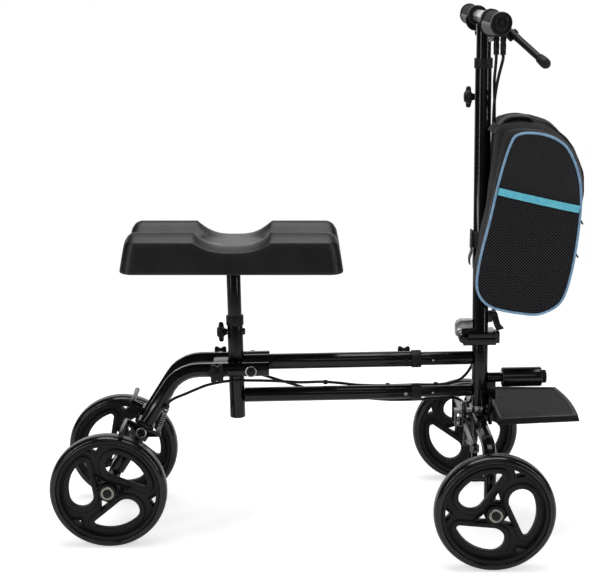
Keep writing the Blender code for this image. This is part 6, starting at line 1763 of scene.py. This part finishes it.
# %% Arm, web and shelf in front of the head tube
ARM = (
    (0.0098, 0.0), (0.0094, 0.0012), (0.0085, 0.0018), (0.0085, 0.0222), (0.0068, 0.0230),
    (0.0068, 0.0300),
)
arm_at = spot(0.0138, 0, ROLLER_W)
arm = turned_at("front_arm", ARM, arm_at, FORWARD, paint, "front_frame", "black_paint", 40)
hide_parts("footplate_bracket")
for name, (u, w), size in (
    ("front_web", (0.0205, 0.1440), (0.0150, 0.0080, 0.0340)),
    ("front_shelf", (0.0330, 0.1104), (0.0420, 0.0500, 0.0040)),
    ("front_foot", (0.0165, 0.1130), (0.0060, 0.0500, 0.0500)),
    ("front_saddle", (0.0040, 0.1020), (0.0260, 0.0420, 0.0060)),
):
    part = block(name, spot(u, 0, w), size, paint, 0.0012, (0, -FRAME_PITCH, 0))
    fixed_to(part, "front_frame", "black_paint")
for name, side in SIDES:
    screw_at = spot(0.0330, side * 0.0170, 0.1087)
    socket_screw("plate_screw_" + name, screw_at, DOWN, 0.0042, "front_frame")

# %% [markdown]
# Clips hold the cables to the lower beam, and a thin plated rod hangs on the far side of the rear
# legs. What that rod is can't be made out, so it is only a plain wire.

# %% Cable clips and rod
CLIP = ((0.0036, -0.0035), (0.0040, -0.0030), (0.0040, 0.0030), (0.0036, 0.0035))
CLIPS = (
    ("front_frame", -0.0750, 0.0178, 0.1505), ("rear_frame", -0.1600, 0.0178, 0.1505),
    ("rear_frame", -0.2700, 0.0060, 0.1620),
)
for k, (body, *place) in enumerate(CLIPS, 1):
    turned_at(f"cable_clip_{k}", CLIP, spot(*place), FORWARD, plastic, body, "black_plastic")
ROD_STOPS = ((-0.2764, 0.0500, 0.2332), (-0.2790, 0.0500, 0.2200), (-0.2816, 0.0500, 0.2049))
rod = wire("parking_rod", [Vector(stop) for stop in ROD_STOPS], 0.0016, sides=10)
fixed_to(painted(rod, silver), "rear_legs", "zinc")

# %% [markdown]
# ## The studio
#
# The walker stands on a plain white floor. The floor and the world show as white to the camera and
# in reflections, through Light Path, so that no extra light has to fall on the walker to get there.
# A broad lamp above gives the soft shadow, and tall narrow lamps draw the streaks along the tubes.

# %% Floor and world
FLOOR_COLOUR = (0.80, 0.80, 0.80, 1)
WHITE = (1, 1, 1, 1)
FLOOR_LIFT = 0.60
SHADOW_REACH, WHITE_REACH = 0.9, 2.6
WORLD_STRENGTH = 0.27
BACKDROP_EDGE, BACKDROP_FULL = 0.62, 0.92
DIM_ROOM = 0.04


def floor_material():
    """White card that keeps its shadow near the walker and glows evenly further out."""
    finish = Finish("white_floor")
    tree = finish.tree
    tree.nodes.remove(finish.shader)
    matt = finish.node("ShaderNodeBsdfDiffuse", inputs={"Color": FLOOR_COLOUR})
    length = {"operation": "LENGTH"}
    reach = finish.node("ShaderNodeVectorMath", length, {0: finish.place()}, "Value")
    far = finish.spread(reach, SHADOW_REACH, WHITE_REACH)
    near = finish.node("ShaderNodeEmission", inputs={"Color": WHITE, "Strength": FLOOR_LIFT})
    lifted = finish.node("ShaderNodeAddShader", inputs={0: matt, 1: near})
    white = finish.node("ShaderNodeEmission", inputs={"Color": WHITE, "Strength": 1.0})
    seen = finish.node("ShaderNodeMixShader", inputs={0: far, 1: lifted, 2: white})
    path = finish.node("ShaderNodeLightPath").socket.node
    rays = [Signal(finish, path.outputs[n]) for n in ("Is Camera Ray", "Is Transmission Ray")]
    both = finish.node("ShaderNodeMixShader", inputs={0: rays[0].peak(rays[1]), 1: matt, 2: seen})
    finish.feed(tree.nodes["Material Output"].inputs["Surface"], both)
    return finish.material


bpy.ops.mesh.primitive_plane_add(size=90)
floor = bpy.context.object
floor.name = "floor"
floor.data.materials.append(floor_material())
floor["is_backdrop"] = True


def studio_world():
    """White to the camera. Reflections see a white backdrop behind, and a dim room elsewhere."""
    finish = Finish("studio_world_nodes")
    world = bpy.data.worlds.new("studio")
    world.use_nodes = True
    bpy.context.scene.world = world
    finish.tree = world.node_tree
    lit = world.node_tree.nodes["Background"]
    lit.inputs["Color"].default_value = WHITE
    lit.inputs["Strength"].default_value = WORLD_STRENGTH
    _, back, _ = finish.split(finish.place("Generated"))
    backdrop = finish.spread(back, BACKDROP_EDGE, BACKDROP_FULL, DIM_ROOM, 1.0)
    mirrored = finish.node("ShaderNodeBackground", inputs={"Strength": backdrop})
    white = finish.node("ShaderNodeBackground", inputs={"Strength": 1.0})
    for shader in (mirrored, white):
        shader.socket.node.inputs["Color"].default_value = WHITE
    path = finish.node("ShaderNodeLightPath").socket.node
    kinds = ("Is Glossy Ray", "Is Transmission Ray", "Is Camera Ray")
    glossy, clear, direct = (Signal(finish, path.outputs[kind]) for kind in kinds)
    soft = Signal(finish, lit.outputs[0])
    first = finish.node("ShaderNodeMixShader", inputs={0: glossy, 1: soft, 2: mirrored})
    last = finish.node("ShaderNodeMixShader", inputs={0: direct.peak(clear), 1: first, 2: white})
    finish.feed(world.node_tree.nodes["World Output"].inputs["Surface"], last)
    bpy.data.materials.remove(finish.material)


studio_world()

# %% Lamps
LAMPS = (
    ("lamp_above", (0.0, 0.1, 2.7), (0.0, 0.0, 0.3), 2.4, 1.6, 40),
    ("lamp_left", (-2.1, -1.7, 1.5), (0.0, 0.0, 0.5), 0.20, 2.2, 14),
    ("lamp_right", (2.3, -1.3, 1.5), (0.1, 0.0, 0.5), 0.20, 2.2, 12),
    ("lamp_front", (0.3, -3.6, 2.6), (0.0, 0.0, 0.4), 2.2, 1.2, 6),
)
for name, at, target, width, height, power in LAMPS:
    toward = (Vector(target) - Vector(at)).to_track_quat("-Z", "Y").to_euler()
    bpy.ops.object.light_add(type="AREA", location=at, rotation=toward)
    lamp = bpy.context.object
    lamp.name = name
    lamp.data.shape = "RECTANGLE"
    lamp.data.size = width
    lamp.data.size_y = height
    lamp.data.energy = power

# %% [markdown]
# The picture uses Blender's plain Standard view, so that a colour renders about as it is written.
# Last comes the size of the dressed walker, which is printed.

# %% View, sizes and finish
bpy.context.scene.view_settings.view_transform = "Standard"
low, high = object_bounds()
print("the walker is", [round(1000 * (h - l)) for l, h in zip(low, high)], "mm")
